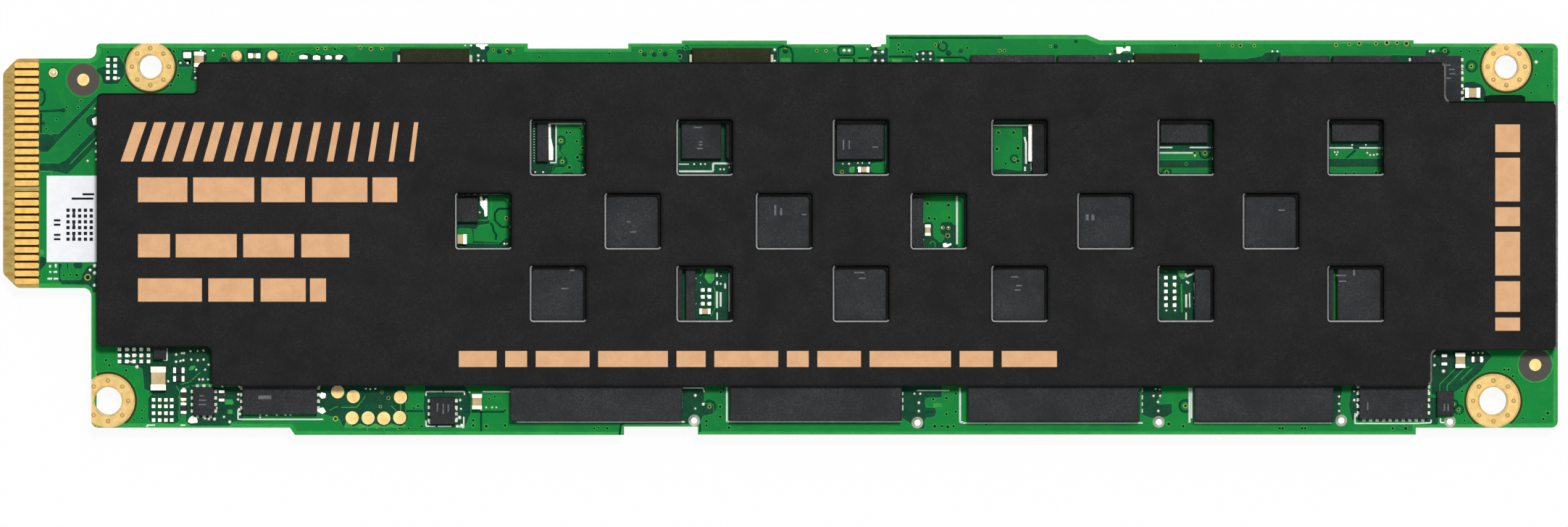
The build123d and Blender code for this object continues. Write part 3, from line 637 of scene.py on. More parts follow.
darkFields = {
    "connectorEnd": [
        [(53, 184.5), (80.6, 184.5), (137.8, 127.5), (142, 131), (66, 210), (53, 210)],
        [(138, 171), (89.8, 220.8), (80.6, 225), (54, 225), (54, 236), (71.5, 236), (93, 241), (138, 196)],
        [(146, 76.5), (164.4, 76.5), (172.7, 89.8), (172.7, 103), (167.7, 109.7), (162.7, 116.3),
         (142.8, 116.3), (139.5, 104.7), (133, 99.8), (133, 94.8), (146, 90)],
        [(244, 81.5), (264, 81.5), (264, 93), (246, 93)],
        [(250, 69), (286, 68), (286, 84), (276, 90), (274, 112), (262, 112), (266, 92), (250, 82)],
        [(118, 163), (124, 158), (137, 155), (137, 180), (126, 177), (119, 170)],
        [(54, 354), (63, 354), (64, 358), (64, 364), (56, 373), (54, 373)],
        [(80.5, 363), (87, 363), (83.5, 372), (83.5, 386), (112, 386), (113.5, 378), (121, 367), (134, 363),
         (134, 404), (127.5, 404), (127, 398), (121, 393), (86, 392.5), (80.5, 388)],
        [(91.5, 362), (95, 362), (95, 371), (91.5, 372)], [(99, 362), (117, 362), (112, 371), (103, 371)],
    ],
    "leftCorner": [
        [(161, 477), (295, 477), (295, 530), (272, 530), (257, 535), (250, 545), (250, 575), (246, 583),
         (238, 585), (208, 583), (204, 578), (204, 548), (213, 541), (199, 538), (196, 508), (188, 506),
         (164, 503)],
        [(256, 533), (336, 533), (336, 582), (322, 582), (317, 587.5), (263, 587.5), (256, 582)],
    ],
    "lowerEdge": [
        [(436, 528), (560, 528), (560, 590), (474, 590), (468, 578), (446, 572), (436, 566)],
        [(586, 530), (640, 530), (650, 545), (650, 570), (642, 590), (588, 590), (584, 562)],
        [(937, 528), (972, 528), (972, 556), (985, 558), (985, 571), (970, 574), (966, 585.5), (937, 585.5)],
        [(1243, 528), (1300, 528), (1300, 549), (1277, 549), (1277, 562), (1290, 562), (1293, 568),
         (1290, 575), (1277, 577), (1276, 592), (1262, 592), (1256, 584), (1243, 576)],
        [(1575, 528), (1603, 528), (1604, 545), (1598, 552), (1596, 558), (1618, 556), (1618, 570),
         (1612, 574), (1603, 577), (1588, 577), (1575, 572)],
        [(1836, 528), (1854, 528), (1850, 560), (1852, 582), (1836, 584)],
        [(1866, 528), (1880, 528), (1880, 580), (1866, 580), (1861, 560)],
        [(1965, 548), (1985, 548), (1985, 586), (1965, 586)],
    ],
    "rightCorner": [
        [(1975, 480), (2048, 480), (2060, 491), (2050, 503), (2044, 512), (2023, 530), (2004, 544),
         (1975, 545)],
        [(2016, 139), (2016, 118), (2022, 113), (2035, 112), (2046, 117), (2051, 126), (2051, 139)],
        [(1968, 66), (1976, 71), (1992, 71), (1996, 65), (2004, 72), (1996, 78), (1966, 78)],
    ],
    "upperEdge": [
        [(541, 70), (556, 70), (556, 88), (541, 88)],
        [(301, 88), (303, 81), (309, 77.5), (315, 81), (317, 88)],
        [(316, 88), (318, 73), (327, 67.5), (337, 73), (339, 88)],
        [(341, 88), (341, 70), (361, 70), (361, 88)],
        [(364, 88), (366, 72), (376, 66.5), (386, 72), (388, 88)],
        [(410, 88), (411, 78), (417, 73), (427, 73), (431, 76.5), (437, 72.5), (446, 76), (454, 73),
         (462, 76), (470, 73), (478, 76.5), (481, 82), (478, 88)],
        [(647, 62), (655, 61.5), (672, 61.5), (677, 66), (672, 74), (675, 88), (650, 88), (649, 74)],
        [(934, 68), (956, 68), (956, 88), (940, 88), (933, 80)],
        [(1060, 66), (1072, 66), (1074, 80), (1070, 88), (1060, 88)],
        [(1200, 64), (1216, 64), (1226, 66), (1226, 88), (1200, 88), (1200, 78), (1205, 74), (1200, 68)],
        [(1262, 76), (1268, 69), (1289, 69), (1292, 80), (1289, 88), (1262, 88)],
        [(1528, 78), (1541, 73), (1562, 73), (1568, 79), (1568, 88), (1528, 88)],
        [(1654, 81), (1720, 81), (1742, 77), (1746, 72), (1772, 72), (1767, 78), (1764, 88), (1654, 88)],
        [(1918, 76), (1950, 76), (1950, 88), (1918, 88)],
    ],
    # inside the windows the dark fields are painted shade in the window recesses
    "windows": [
        [(729, 158), (768, 158), (768, 226), (764, 230), (758, 247), (729, 247)],
        [(768, 158), (814, 158), (814, 169), (768, 169)],
        [(772, 247), (773, 240), (778, 237), (790, 237), (794, 241), (794, 247)],
        [(931, 158), (1016, 158), (1016, 249), (931, 249)],
        [(1147, 158), (1226, 158), (1226, 222), (1203, 226), (1200, 234), (1206, 238), (1226, 238),
         (1226, 247), (1147, 247)],
        [(1363, 158), (1430, 158), (1430, 249), (1363, 249), (1363, 236), (1385, 232), (1410, 236),
         (1410, 173), (1363, 173)],
        [(1594, 158), (1680, 158), (1680, 209), (1594, 209)],
        [(1594, 220.5), (1680, 220.5), (1680, 232), (1594, 232)],
        [(1828, 158), (1914, 158), (1914, 206), (1828, 206)],
        [(1828, 218.5), (1914, 218.5), (1914, 231), (1828, 231)],
        [(626, 262), (674, 262), (674, 301), (676, 304), (676, 309), (659, 311), (659, 317), (640, 315),
         (626, 317)],
        [(688, 336), (697, 328), (710, 328), (710, 345), (626, 345), (626, 335)],
        [(1274, 308), (1277, 306), (1286, 306), (1288.5, 310), (1288.5, 327), (1294, 331), (1296, 335),
         (1299, 334), (1305, 327), (1297.5, 322), (1297, 312), (1300, 306), (1313, 306), (1316, 310),
         (1322, 310), (1322, 348), (1268, 348), (1268, 310)],
        [(932, 362), (1016, 362), (1016, 447), (932, 447)],
        [(1594, 362), (1658, 362), (1658, 447), (1594, 447)],
    ],
}

lightFields = {
    "connectorEnd": [[(55, 344), (60, 344), (61, 350), (58, 353), (55, 351)]],
    # lighter strips along the right edge: a painted highlight
    "rightEdgeHighlight": [
        [(2143, 67), (2147, 72), (2147, 138), (2143, 138)],
        [(2143.5, 520), (2147, 520), (2147, 579), (2143.5, 583)],
    ],
    "leftCorner": [
        [(311, 551), (321, 551), (323, 558), (310, 558)],
        [(314, 565), (321, 565), (321, 571), (314, 571)],
        [(259, 512), (263, 505), (272, 503.5), (267, 510)],
    ],
    "lowerEdge": [
        [(484, 568), (474, 590), (560, 590), (560, 584), (553, 588), (540, 584), (530, 589), (518, 584),
         (508, 589), (497, 584), (486, 589)],
        [(1288, 556), (1300, 556), (1300, 562), (1288, 562)],
    ],
    "windows": [
        [(972, 382), (976, 370), (986, 370), (986, 385), (982, 391), (978, 391)],
        [(1624, 374), (1636, 373), (1635, 385), (1630, 385)],
        [(1172, 231), (1180, 229), (1179, 238), (1172, 238)],
    ],
}

darkGaps = {
    "width": 2.8,
    "lines": [
        [(54, 153.6), (88, 152)],
        [(56.5, 156), (56.5, 184)],
        [(1226, 78), (1258, 78), (1264, 84)],
        [(1227, 52), (1384, 52)],
        [(1074, 88), (1074, 66), (1082, 63.5), (1091, 66), (1094, 74), (1094, 88)],
        [(54, 123), (58, 123.5), (61.5, 128), (61.5, 139), (58, 144.5), (54, 145)],
        [(1157, 76), (1157, 64), (1179, 64), (1179, 76), (1157, 76)],
        [(1157, 88), (1158, 80), (1178, 80), (1179, 88)],
        [(1184, 80), (1200, 80)],
        [(1290, 79), (1330, 79), (1336, 84)],
        [(560, 567), (586, 567)],
        [(640, 568), (696, 568)],
        [(664, 568), (664, 595)],
        [(855, 600), (857, 586), (863, 583), (937, 583)],
        [(966, 583), (966, 596)],
        [(1281, 540), (1299, 540)],
        [(1277, 569), (1288, 568)],
        [(774, 199), (773, 206), (779, 214), (779, 219)],
        [(758, 241), (766, 229), (778, 228)],
        [(1871, 202), (1870, 208), (1856, 220)],
        [(676, 307), (680, 311), (681, 318), (685, 324), (684, 331)],
        [(652, 315), (652, 334), (692, 336)],
        [(705, 288), (688, 288), (683, 294), (683, 304), (692, 313), (704, 313)],
    ],
    "rings": [
        (774, 194, 6), (776, 223, 6), (802, 218, 5), (1636, 560, 8), (1301, 64, 6), (946, 67, 4),
        (1162, 237, 5), (1610, 238, 6), (1663, 211, 7), (1400, 219, 5), (63, 199, 5),
        (979, 561, 8), (2031, 91.5, 7), (1994, 71, 6), (2006, 558, 6), (2013, 565, 6),
    ],
    "spots": [
        (889.5, 75, 3.2), (903, 75, 3.4), (918, 74.5, 3.4), (689, 71, 3.2), (703, 71.5, 3.4), (1457, 64, 3),
        (1485, 57, 2.4), (552, 590, 3), (1309, 73, 4), (1326, 70, 3), (1540, 71, 3), (87.5, 152, 3.2),
        (1084, 70, 4), (60, 170, 2.4),
    ],
    "padGrooves": [
        (466, 540.5, 9.6), (487.6, 547, 9.6), (552.7, 548, 9.6), (486, 576.5, 9.6), (508, 576.5, 9.6),
        (529.7, 577, 9.6), (551.6, 576, 9.6), (73.5, 100.4, 6.6),
    ],
}

lightTraces = {
    "width": 1.5,
    "wideWidth": 3.0,
    "lines": [
        [(96.4, 226.6), (137, 185)],
        [(397, 88), (398, 79), (404, 72), (414, 69.5), (424, 69.5)], [(392, 84), (394, 74), (400, 68.5)],
        [(428, 70), (440, 62), (452, 61), (470, 68)],
        [(54, 237), (70, 237), (72, 242)],
        [(466, 562), (492, 562), (502, 550), (504, 546)],
        [(455, 566), (464, 561), (470, 562)],
        [(553, 556), (553, 570)],
        [(540, 560), (548, 568)],
        [(484, 586), (484, 600)], [(507, 586), (507, 600)], [(530, 586), (530, 600)],
        [(1987, 540), (1987, 530), (2012, 505)],
        [(1997, 540), (1997, 532), (2022, 507), (2028, 506)],
        [(2016, 524), (2032, 508)],
        [(250, 530), (262, 527), (276, 514)],
        [(277, 532), (289, 530)],
        [(243, 533), (248, 540), (247, 578)],
        [(985, 395), (987, 402), (987, 424), (981, 436)],
        [(678, 268), (678, 300), (672, 304), (660, 304)],
        [(651, 318), (652, 334)],
        [(1283, 337), (1286, 331), (1291, 336), (1290, 342)],
        [(1602, 372), (1611, 375)],
        [(774, 207), (780, 215), (776, 219)],
        [(968, 370), (970, 376), (966, 381)],
    ],
    "wide": [
        [(1630.5, 392), (1631, 431)],
    ],
    "pads": [(1168, 84, 18, 6), (1190, 84, 14, 5), (1238, 84, 14, 6), (1216, 66, 10, 5), (1084, 83, 14, 6)],
}

silkLines = {
    "width": 2.0,
    "thickWidth": 2.8,
    "lines": [
        [(755, 170.5), (808, 170.5)],
        [(767.5, 173), (767.5, 224.5), (759, 224.5)],
        [(1368, 173), (1425, 173)],
        [(1600, 203.5), (1618, 203.5)], [(1642, 203.5), (1674, 203.5)], [(1600, 211), (1646, 211)],
        [(1831, 204), (1867, 204)], [(1876, 204), (1909, 204)],
        [(675, 269), (691, 269)],
        [(1006.5, 377), (1006.5, 430)],
        [(989.7, 431), (989.7, 444)], [(1637, 431), (1637, 444)],
        [(636.7, 268.8), (640.4, 268.8)], [(644, 268.8), (649, 268.8)], [(653, 268.8), (658, 268.8)],
        [(662, 268.8), (673, 268.8)],
        [(1223.5, 170), (1223.5, 227)],
        [(588, 546), (588, 540.2), (611, 540.2)], [(613, 540.2), (641, 540.2), (641, 545)],
        [(588, 580), (588, 588), (601, 588)], [(604, 588), (623, 588)],
        [(640, 575), (640, 590), (632, 588)],
        [(666, 540.2), (706, 540.2)],
        [(858, 582), (945, 582)], [(203, 586.6), (214, 586.6)], [(249, 586.6), (256, 586.6)],
        [(942, 535), (970, 535), (972, 541)],
        [(1265, 538.5), (1310, 538.5)],
        [(713, 582), (858, 582)],
        [(1003, 581.5), (1244, 581.5)],
        [(1328, 583.5), (1577, 583.5)],
        [(1648, 583.5), (1838, 583.5)],
        [(1870, 570), (1870, 584.2), (1954, 584.2), (1975, 583.2), (1975, 579)],
        [(1988, 577), (1988, 583), (1994, 583)],
        [(1936, 126), (1936, 120)],
        [(328.5, 566), (328.5, 578.5), (446, 578.5)], [(359, 578), (359, 574)],
        [(225, 497), (230.5, 497), (230.5, 480)],
    ],
    "thickLines": [
        [(69, 365.5), (69, 369)], [(77, 364), (77, 369)], [(68, 375.2), (71, 375.2)],
        [(74, 375.2), (79, 375.2)],
        [(65.5, 384.5), (72, 384.5)], [(74, 384.5), (80.5, 384.5)],
        [(937, 236.5), (984, 236.5), (984, 225.5), (1012, 225.5)],
        [(1320.7, 269), (1320.7, 337)],
        [(1003.2, 534), (1003.2, 581.5)],
        [(1325, 535), (1325, 582.5), (1329, 582.5)],
        [(1641.6, 535), (1641.6, 583)], [(1644.6, 535), (1644.6, 577)],
        [(989.5, 402), (989.5, 425)], [(994.6, 403), (994.6, 423)],
        [(989.5, 376), (989.5, 382)], [(989.5, 388), (989.5, 393)],
        [(1637, 406), (1637, 424)], [(1636.5, 377), (1636.5, 382), (1650, 376)], [(1636.5, 388), (1641, 391)],
        [(1648.6, 390), (1649.5, 406)], [(1000.8, 391), (1000.8, 398)],
        [(1414, 189), (1416, 198), (1416, 226)], [(1414.6, 230), (1414.6, 236)],
    ],
}

paleTraces = {
    "width": 1.6,
    "lines": [
        [(1423, 189), (1423, 236)],
        [(940, 243.7), (952, 243.7)], [(959, 243.7), (965, 243.7)], [(970, 243.7), (978, 243.7)],
        [(937, 226.5), (951, 226.5)], [(1641.5, 404), (1642, 424)],
        [(940.7, 539.5), (940.7, 544)], [(940.7, 547), (940.7, 551)], [(940.7, 554), (940.7, 558)],
        [(940.7, 560), (940.7, 563.6)],
        [(1245.8, 540.7), (1245.8, 545)], [(1245.8, 549), (1245.8, 555)], [(1245.8, 559), (1245.8, 566)],
        [(1576.4, 535.6), (1576.4, 541)], [(1576.4, 545), (1576.4, 551)], [(1576.4, 555), (1576.4, 560)],
        [(1576.4, 564), (1576.4, 569.4)],
    ],
}

solderFields = [
    [(757, 171), (760, 171), (760.5, 190), (763.5, 204), (763.5, 221), (757.5, 221)],
    [(662, 271), (665, 271), (667, 278), (672.5, 272), (672.5, 298), (669, 299), (668, 290), (663, 283)],
    [(657, 61), (673.5, 61), (673.5, 63), (669, 64), (669, 68), (664, 68), (662, 65), (657, 64)],
    [(253, 72), (264, 72), (264, 80), (253, 80)],
    [(342.5, 73.5), (349, 73.5), (349, 80.5), (342.5, 80.5)],
    [(353.5, 73.5), (359.5, 73.5), (359.5, 80.5), (353.5, 80.5)],
    [(413, 77), (418, 75.5), (424.5, 77), (424.5, 81.5), (413, 81.5)],
    [(432, 77), (437, 76), (442, 77.5), (442, 82.5), (432, 82.5)],
    [(449, 77), (453, 76), (458, 77.5), (458, 82), (449, 82)],
    [(463, 77), (468, 75.5), (474, 76.5), (470, 82.5), (463, 82)],
    [(1540.5, 65), (1549, 65), (1551, 68), (1555, 64), (1560, 64), (1560, 71), (1555, 70), (1549, 71),
     (1546, 74), (1541, 74)],
    [(1301, 336), (1305, 335), (1308, 337), (1313, 335), (1313, 338), (1307, 341), (1302, 341)],
    [(1648, 424), (1652, 421), (1652, 440), (1649, 441), (1650, 433)],
    [(127, 164), (135, 160), (135, 172), (129, 173)],
    [(261, 577), (266, 573), (272, 577), (273, 583), (264, 584), (259, 582)],
    [(1201, 61), (1217, 61), (1215, 64), (1204, 65)],
    [(436, 564), (446, 562), (450, 568), (445, 571), (439, 568)],
    [(440, 546), (444, 541), (450, 543), (449, 549), (444, 550)],
]


def lineUp(places):
    return [line for group in places.values() for line in group]


# How high each thin layer stands above the board, and how far its turns are rounded, in photo pixels
levels = {
    "darkField": 0.004 * mm, "lightField": 0.012 * mm, "gap": 0.008 * mm, "trace": 0.02 * mm,
    "silk": 0.014 * mm, "step": 0.01 * mm, "solder": 0.09 * mm,
}
turns = {"darkField": 3.0, "lightField": 1.5, "solder": 1.0, "trace": 3.0, "silk": 1.0}
stepWidth = 0.9

# Two round pads and a very small capacitor at the upper edge, a dark strip near the upper right ring, and the
# pale hoop round the lower right fiducial, a painted highlight
smallParts = {
    "domes": [(376, 77, 7.9), (326.5, 78, 8.3)],
    "bed": [(342, 66.5), (360, 66.5), (362, 76), (361, 85), (341, 85), (340, 76)],
    "bedHeight": 0.056 * mm, "bedTurn": 1.0,
    "body": [(348, 74), (354, 74), (354, 80), (348, 80)],
    "bodyHeight": 0.08 * mm, "bodyTurn": 0.5,
    "strip": [(2048, 133), (2058, 131), (2080, 130.5), (2100, 131), (2105, 134), (2105, 140), (2048, 140)],
    "stripTurn": 0.5,
    "maskRimHighlight": (2118.7, 503.4, 24.6),
}

# Thickness and Flatness are shares of a hoop's or a drop's own size
hoopShapes = {
    "viaGap": {"Thickness": 0.22, "Flatness": 0.06}, "padGroove": {"Thickness": 0.12, "Flatness": 0.05},
    "maskRimHighlight": {"Thickness": 0.06, "Flatness": 0.08}, "goldHole": {"Thickness": 0.26, "Flatness": 0.25},
    "maskedHole": {"Thickness": 0.3, "Flatness": 0.2}, "dimple": {"Thickness": 0.26, "Flatness": 0.2},
}
dropShapes = {
    "padDome": {"Flatness": 0.12, "Segments": 20}, "spot": {"Flatness": 0.05, "Segments": 12},
    "well": {"Flatness": 0.08, "Segments": 10}, "lowerWell": {"Flatness": 0.08, "Segments": 8},
    "bump": {"Flatness": 0.3, "Segments": 10}, "solder": {"Flatness": 0.5, "Segments": 10},
}


def layField(name, outlines, look, slot, height, turn):
    grow(name, wire(loops(outlines), boardTop), recipes["field"], look, slot,
         Level=(0.0, 0.0, boardTop), Height=height, Turn=turn * pixel)


def layRibbon(name, lines, look, slot, width, height, turn=turns["trace"], base=boardTop):
    grow(name, wire(lines, base + height / 2), recipes["ribbon"], look, slot,
         Width=width * pixel, Height=height, Turn=turn * pixel)


def setHoops(name, marks, look, slot, shape, base=boardTop):
    grow(name, dots(marks, base), recipes["hoop"], look, slot, **hoopShapes[shape])


def setDrops(name, marks, look, slot, shape, base=boardTop):
    grow(name, dots(marks, base), recipes["drop"], look, slot, **dropShapes[shape])


def setBars(name, marks, look, slot, height, base, slant=0.0):
    grow(name, dots(marks, base), recipes["bar"], look, slot, Height=height, Slant=slant)


layField("maskOverLaminate", lineUp(darkFields), "maskDarkAndShade", "board", levels["darkField"], turns["darkField"])
# a lighter line along the edges of the dark fields: a painted highlight on the mask's steps
layRibbon("maskStepHighlights", loops(lineUp(darkFields)), "maskStepHighlight", "board", stepWidth, levels["step"])
layField("maskOverPour", lineUp(lightFields), "maskLightAndHighlight", "board", levels["lightField"], turns["lightField"])
layField("solderPatches", solderFields, "solder", "tin", levels["solder"], turns["solder"])
setDrops("padDomes", smallParts["domes"], "paleGoldAndHighlight", "gold", "padDome")
layField("capacitorBed", [smallParts["bed"]], "maskDarkAndShade", "board", smallParts["bedHeight"],
         smallParts["bedTurn"])
layField("shadedStrip", [smallParts["strip"]], "gap", "board", levels["trace"], smallParts["stripTurn"])
layField("tinyCapacitor", [smallParts["body"]], "ceramic", "ceramic_body", smallParts["bodyHeight"],
         smallParts["bodyTurn"])
layRibbon("copperGaps", darkGaps["lines"], "maskDarkAndShade", "board", darkGaps["width"], levels["gap"])
setHoops("viaGaps", darkGaps["rings"], "maskDarkAndShade", "board", "viaGap")
setDrops("viaSpots", darkGaps["spots"], "maskDarkAndShade", "board", "spot")
setHoops("padGrooves", darkGaps["padGrooves"], "gap", "board", "padGroove")
# a pale hoop round the lower right fiducial: a painted highlight on the mask's edge
setHoops("fiducialHighlightHoop", [smallParts["maskRimHighlight"]], "maskLightAndHighlight", "board", "maskRimHighlight")
layRibbon("signalTraces", lightTraces["lines"], "maskLightAndHighlight", "board", lightTraces["width"], levels["trace"])
layRibbon("wideTrace", lightTraces["wide"], "maskLightAndHighlight", "board", lightTraces["wideWidth"], levels["trace"])
setBars("maskedPads", lightTraces["pads"], "maskLightAndHighlight", "board", levels["trace"], boardTop)
layRibbon("silkLines", silkLines["lines"], "silk", "board", silkLines["width"], levels["silk"], turns["silk"])
layRibbon("silkBars", silkLines["thickLines"], "silk", "board", silkLines["thickWidth"], levels["silk"],
          turns["silk"])
layRibbon("paleTraces", paleTraces["lines"], "silk", "board", paleTraces["width"], levels["trace"])

# Small plated holes, some gold and some under the mask

goldHoles = [
    (1876, 60, 3.4), (1899, 60, 3), (1914, 59, 4), (1928, 59, 3.2), (1941, 60, 4), (1844, 62, 3),
    (1862, 61, 2.6), (1701, 63, 2.4), (1712, 63, 3), (1731, 63, 2.4), (1682, 62, 2.2), (681, 69, 2.4),
    (700, 70, 3), (708, 69, 2), (884, 71, 2.6), (899, 71, 2), (911, 70, 2.4), (926, 70, 2.2),
    (1084, 69, 3), (1127, 70, 2.4), (1140, 70, 2.4), (1152, 69, 2), (1291, 62, 2.4), (1298, 58, 2),
    (1380, 70, 2.4), (1386, 70, 2.4), (2030.5, 91.6, 3), (1994, 70, 3), (804, 204, 3), (1162, 237, 3),
    (1301, 314, 3), (1309, 314.5, 3), (1308, 325, 3.6), (1649, 211, 3), (1663, 211, 3.4), (1610, 238, 3),
    (699, 301, 3), (774, 194, 2.6), (776, 223, 2.6), (1400, 219.5, 2.4), (2006, 558, 2.4),
    (2013, 565, 2.4), (979, 561, 3), (1636, 560, 3.4), (536, 549, 3), (527, 541, 2.4), (525, 561, 2.4),
    (551, 591, 2.6), (497, 589, 2.4), (520, 589, 2.4), (463, 577.5, 4), (1450, 64, 2.2), (248, 548, 2),
    (345, 544, 3), (121, 382.5, 5), (309, 75.5, 3), (438, 67, 2.6), (449, 67, 2.6), (497, 66, 2.6),
    (512, 67.5, 3.2), (527, 67, 2.6),
]
maskedHoles = [
    (70, 184, 2), (78, 165, 2), (64, 178, 2), (92, 148, 2), (108, 148, 2), (112, 139, 2), (110, 186, 2),
    (174, 118, 2), (149, 72, 2), (166, 492, 2.4), (146, 497, 2.4), (151, 504, 2.4), (174, 511, 2.4),
    (185, 579, 2), (196, 577, 2), (196, 566, 2), (2050, 66, 2), (2016, 71, 2), (2028, 71, 2),
    (2040, 70, 2), (2128, 71, 2.4), (2119, 103, 2), (2136, 118, 2), (2113, 128, 2), (2120, 86, 2.6),
    (2014, 571, 2), (2021, 580, 2), (2102, 577, 2), (2130, 578, 2.4), (2136, 570, 3), (2076, 510, 2.4),
    (2082, 510, 2.4), (2088, 519, 2.4), (2018, 540, 2), (1376, 205.6, 3), (1405, 204.6, 3),
    (1405, 222, 3), (1378, 183, 2.6), (1399, 182.7, 2.6), (1388, 226, 2), (782, 183, 2.4),
    (796, 195, 2.4), (801, 178, 2), (786, 231, 3), (797, 217, 3), (787, 183, 2), (1280, 281, 2.6),
    (1282, 301, 2.6), (1290, 302, 2.6), (1309, 283, 2.8), (1310, 300, 2.4), (820, 591, 2), (826, 590, 2),
    (838, 591, 2.4), (995, 541, 2.6), (994, 561, 2.6), (994, 575, 2.6), (1006, 590, 2.6), (975, 581, 2.4),
    (975, 587, 2), (1288, 551, 2.4), (1306, 549, 2.4), (1306, 571, 2.4), (1319, 543, 2.4),
    (1319, 568, 2.4), (1290, 588, 3), (1300, 588, 2.4), (1308, 589, 3), (1316, 588, 2.4), (1361, 586, 2),
    (1633, 588, 2.6), (1613, 585, 3), (1766, 591, 2.4), (1770, 591, 2.4), (1797, 591, 2.4),
    (1801, 591, 2.4), (1922, 591, 2.4), (1940, 591, 3), (577, 560, 2.4), (571, 563, 2), (564, 591, 2),
    (582, 588, 2), (697, 587, 2.6), (653, 580, 2.4), (653, 587, 2.6), (671, 588, 3), (675, 550, 2),
    (683, 547, 2), (671, 562, 2), (679, 562, 2), (685, 562, 2), (697, 566, 2), (240, 71, 2.4),
    (246, 104, 2.4), (236, 118, 2.4), (1212, 73, 2), (1240, 68, 2), (1246, 72, 2.4), (1240, 62, 2.4),
    (1255, 70, 2), (1335, 66, 2), (1552, 60, 2), (1622, 63, 2), (780, 92, 2), (841, 74, 2), (744, 79, 2),
    (1637, 226, 2), (55, 381, 2), (88, 380, 2), (97, 379, 2), (106, 379.5, 2.6), (386, 73, 3),
    (403, 74, 3), (462, 68, 2.4), (938, 78, 3), (946, 67, 2.2), (1835, 238, 2), (1857, 239, 2),
    (1869, 239, 2), (1899, 238, 2.6),
]
holeSize = {"well": 0.62, "goldShare": 0.78}
goldHoops = [(x, y, size * holeSize["goldShare"]) for x, y, size in goldHoles]
wells = [(x, y, size * holeSize["well"]) for x, y, size in goldHoops + maskedHoles]
for face, base in (("Upper", boardTop), ("Lower", boardBottom)):
    setHoops("goldViaHoops" + face, goldHoops, "goldDull", "gold", "goldHole", base)
    setHoops("maskedViaHoops" + face, maskedHoles, "maskLightAndHighlight", "board", "maskedHole", base)
    setDrops("viaWells" + face, wells, "gap", "board", "well", base)

# The gold rings: a low bead along both edges, coloured pale as a painted highlight, and dimples in a circle
# round each bore, each a hoop of painted shade round a drop of painted highlight

ringLook = {
    "nodes": [f"plated_hole_{place}" for place in ("upper_left", "upper_right", "lower_left", "lower_right")],
    "bores": [15.8, 15.8, 19, 19], "beadInset": 1.3, "beadWidth": 1.5, "beadHeight": 0.02 * mm, "steps": 64,
    "dimples": 8, "dimpleShare": 0.75, "dimpleSize": 2.5, "bumpShare": 0.6, "clear": 0.06 * mm,
}


def ringPoint(centre, reach, angle):
    return (centre[0] + reach * math.cos(angle), centre[1] - reach * math.sin(angle))


def onRing(point, box):  # false where the board's edge cuts the ring
    place = spot(point)
    clear = ringLook["clear"]
    low, high = box
    return low.x + clear < place.x < high.x - clear and low.y + clear < place.y < high.y - clear


def makeRings():
    look = ringLook
    arcs = []
    marks = []
    for (centre, radius), bore, node in zip(boardLook["rings"], look["bores"], look["nodes"]):
        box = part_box(node)
        for reach in (radius - look["beadInset"], bore + look["beadInset"]):
            angles = [2 * math.pi * step / look["steps"] for step in range(look["steps"] + 1)]
            for pair in zip(angles, angles[1:]):
                ends = [ringPoint(centre, reach, angle) for angle in pair]
                if all(onRing(end, box) for end in ends):
                    arcs.append(ends)
        for step in range(look["dimples"]):
            angle = 2 * math.pi * step / look["dimples"]
            point = ringPoint(centre, radius * look["dimpleShare"], angle)
            if onRing(point, box):
                marks.append((*point, look["dimpleSize"]))
    low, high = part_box(look["nodes"][0])
    bumps = [(x, y, size * look["bumpShare"]) for x, y, size in marks]
    for face, level, base in (("Upper", high.z, high.z), ("Lower", low.z, low.z - look["beadHeight"])):
        layRibbon("ringBeads" + face, joined(arcs), "paleGoldAndHighlight", "gold", look["beadWidth"],
                  look["beadHeight"], 0.0, base)
        setHoops("ringDimples" + face, marks, "goldDeep", "gold", "dimple", level)
        setDrops("ringBumps" + face, bumps, "paleGoldAndHighlight", "gold", "bump", level)


def joined(pieces, gap=0.01):  # short lines that meet end to end become one line
    lines = []
    for first, second in pieces:
        if lines and math.dist(lines[-1][-1], first) < gap:
            lines[-1].append(second)
        else:
            lines.append([first, second])
    for line in lines:
        if math.dist(line[0], line[-1]) < gap:
            line[-1] = line[0]
    return lines


makeRings()

# Solder: joints of the small parts, and dots on bare pads

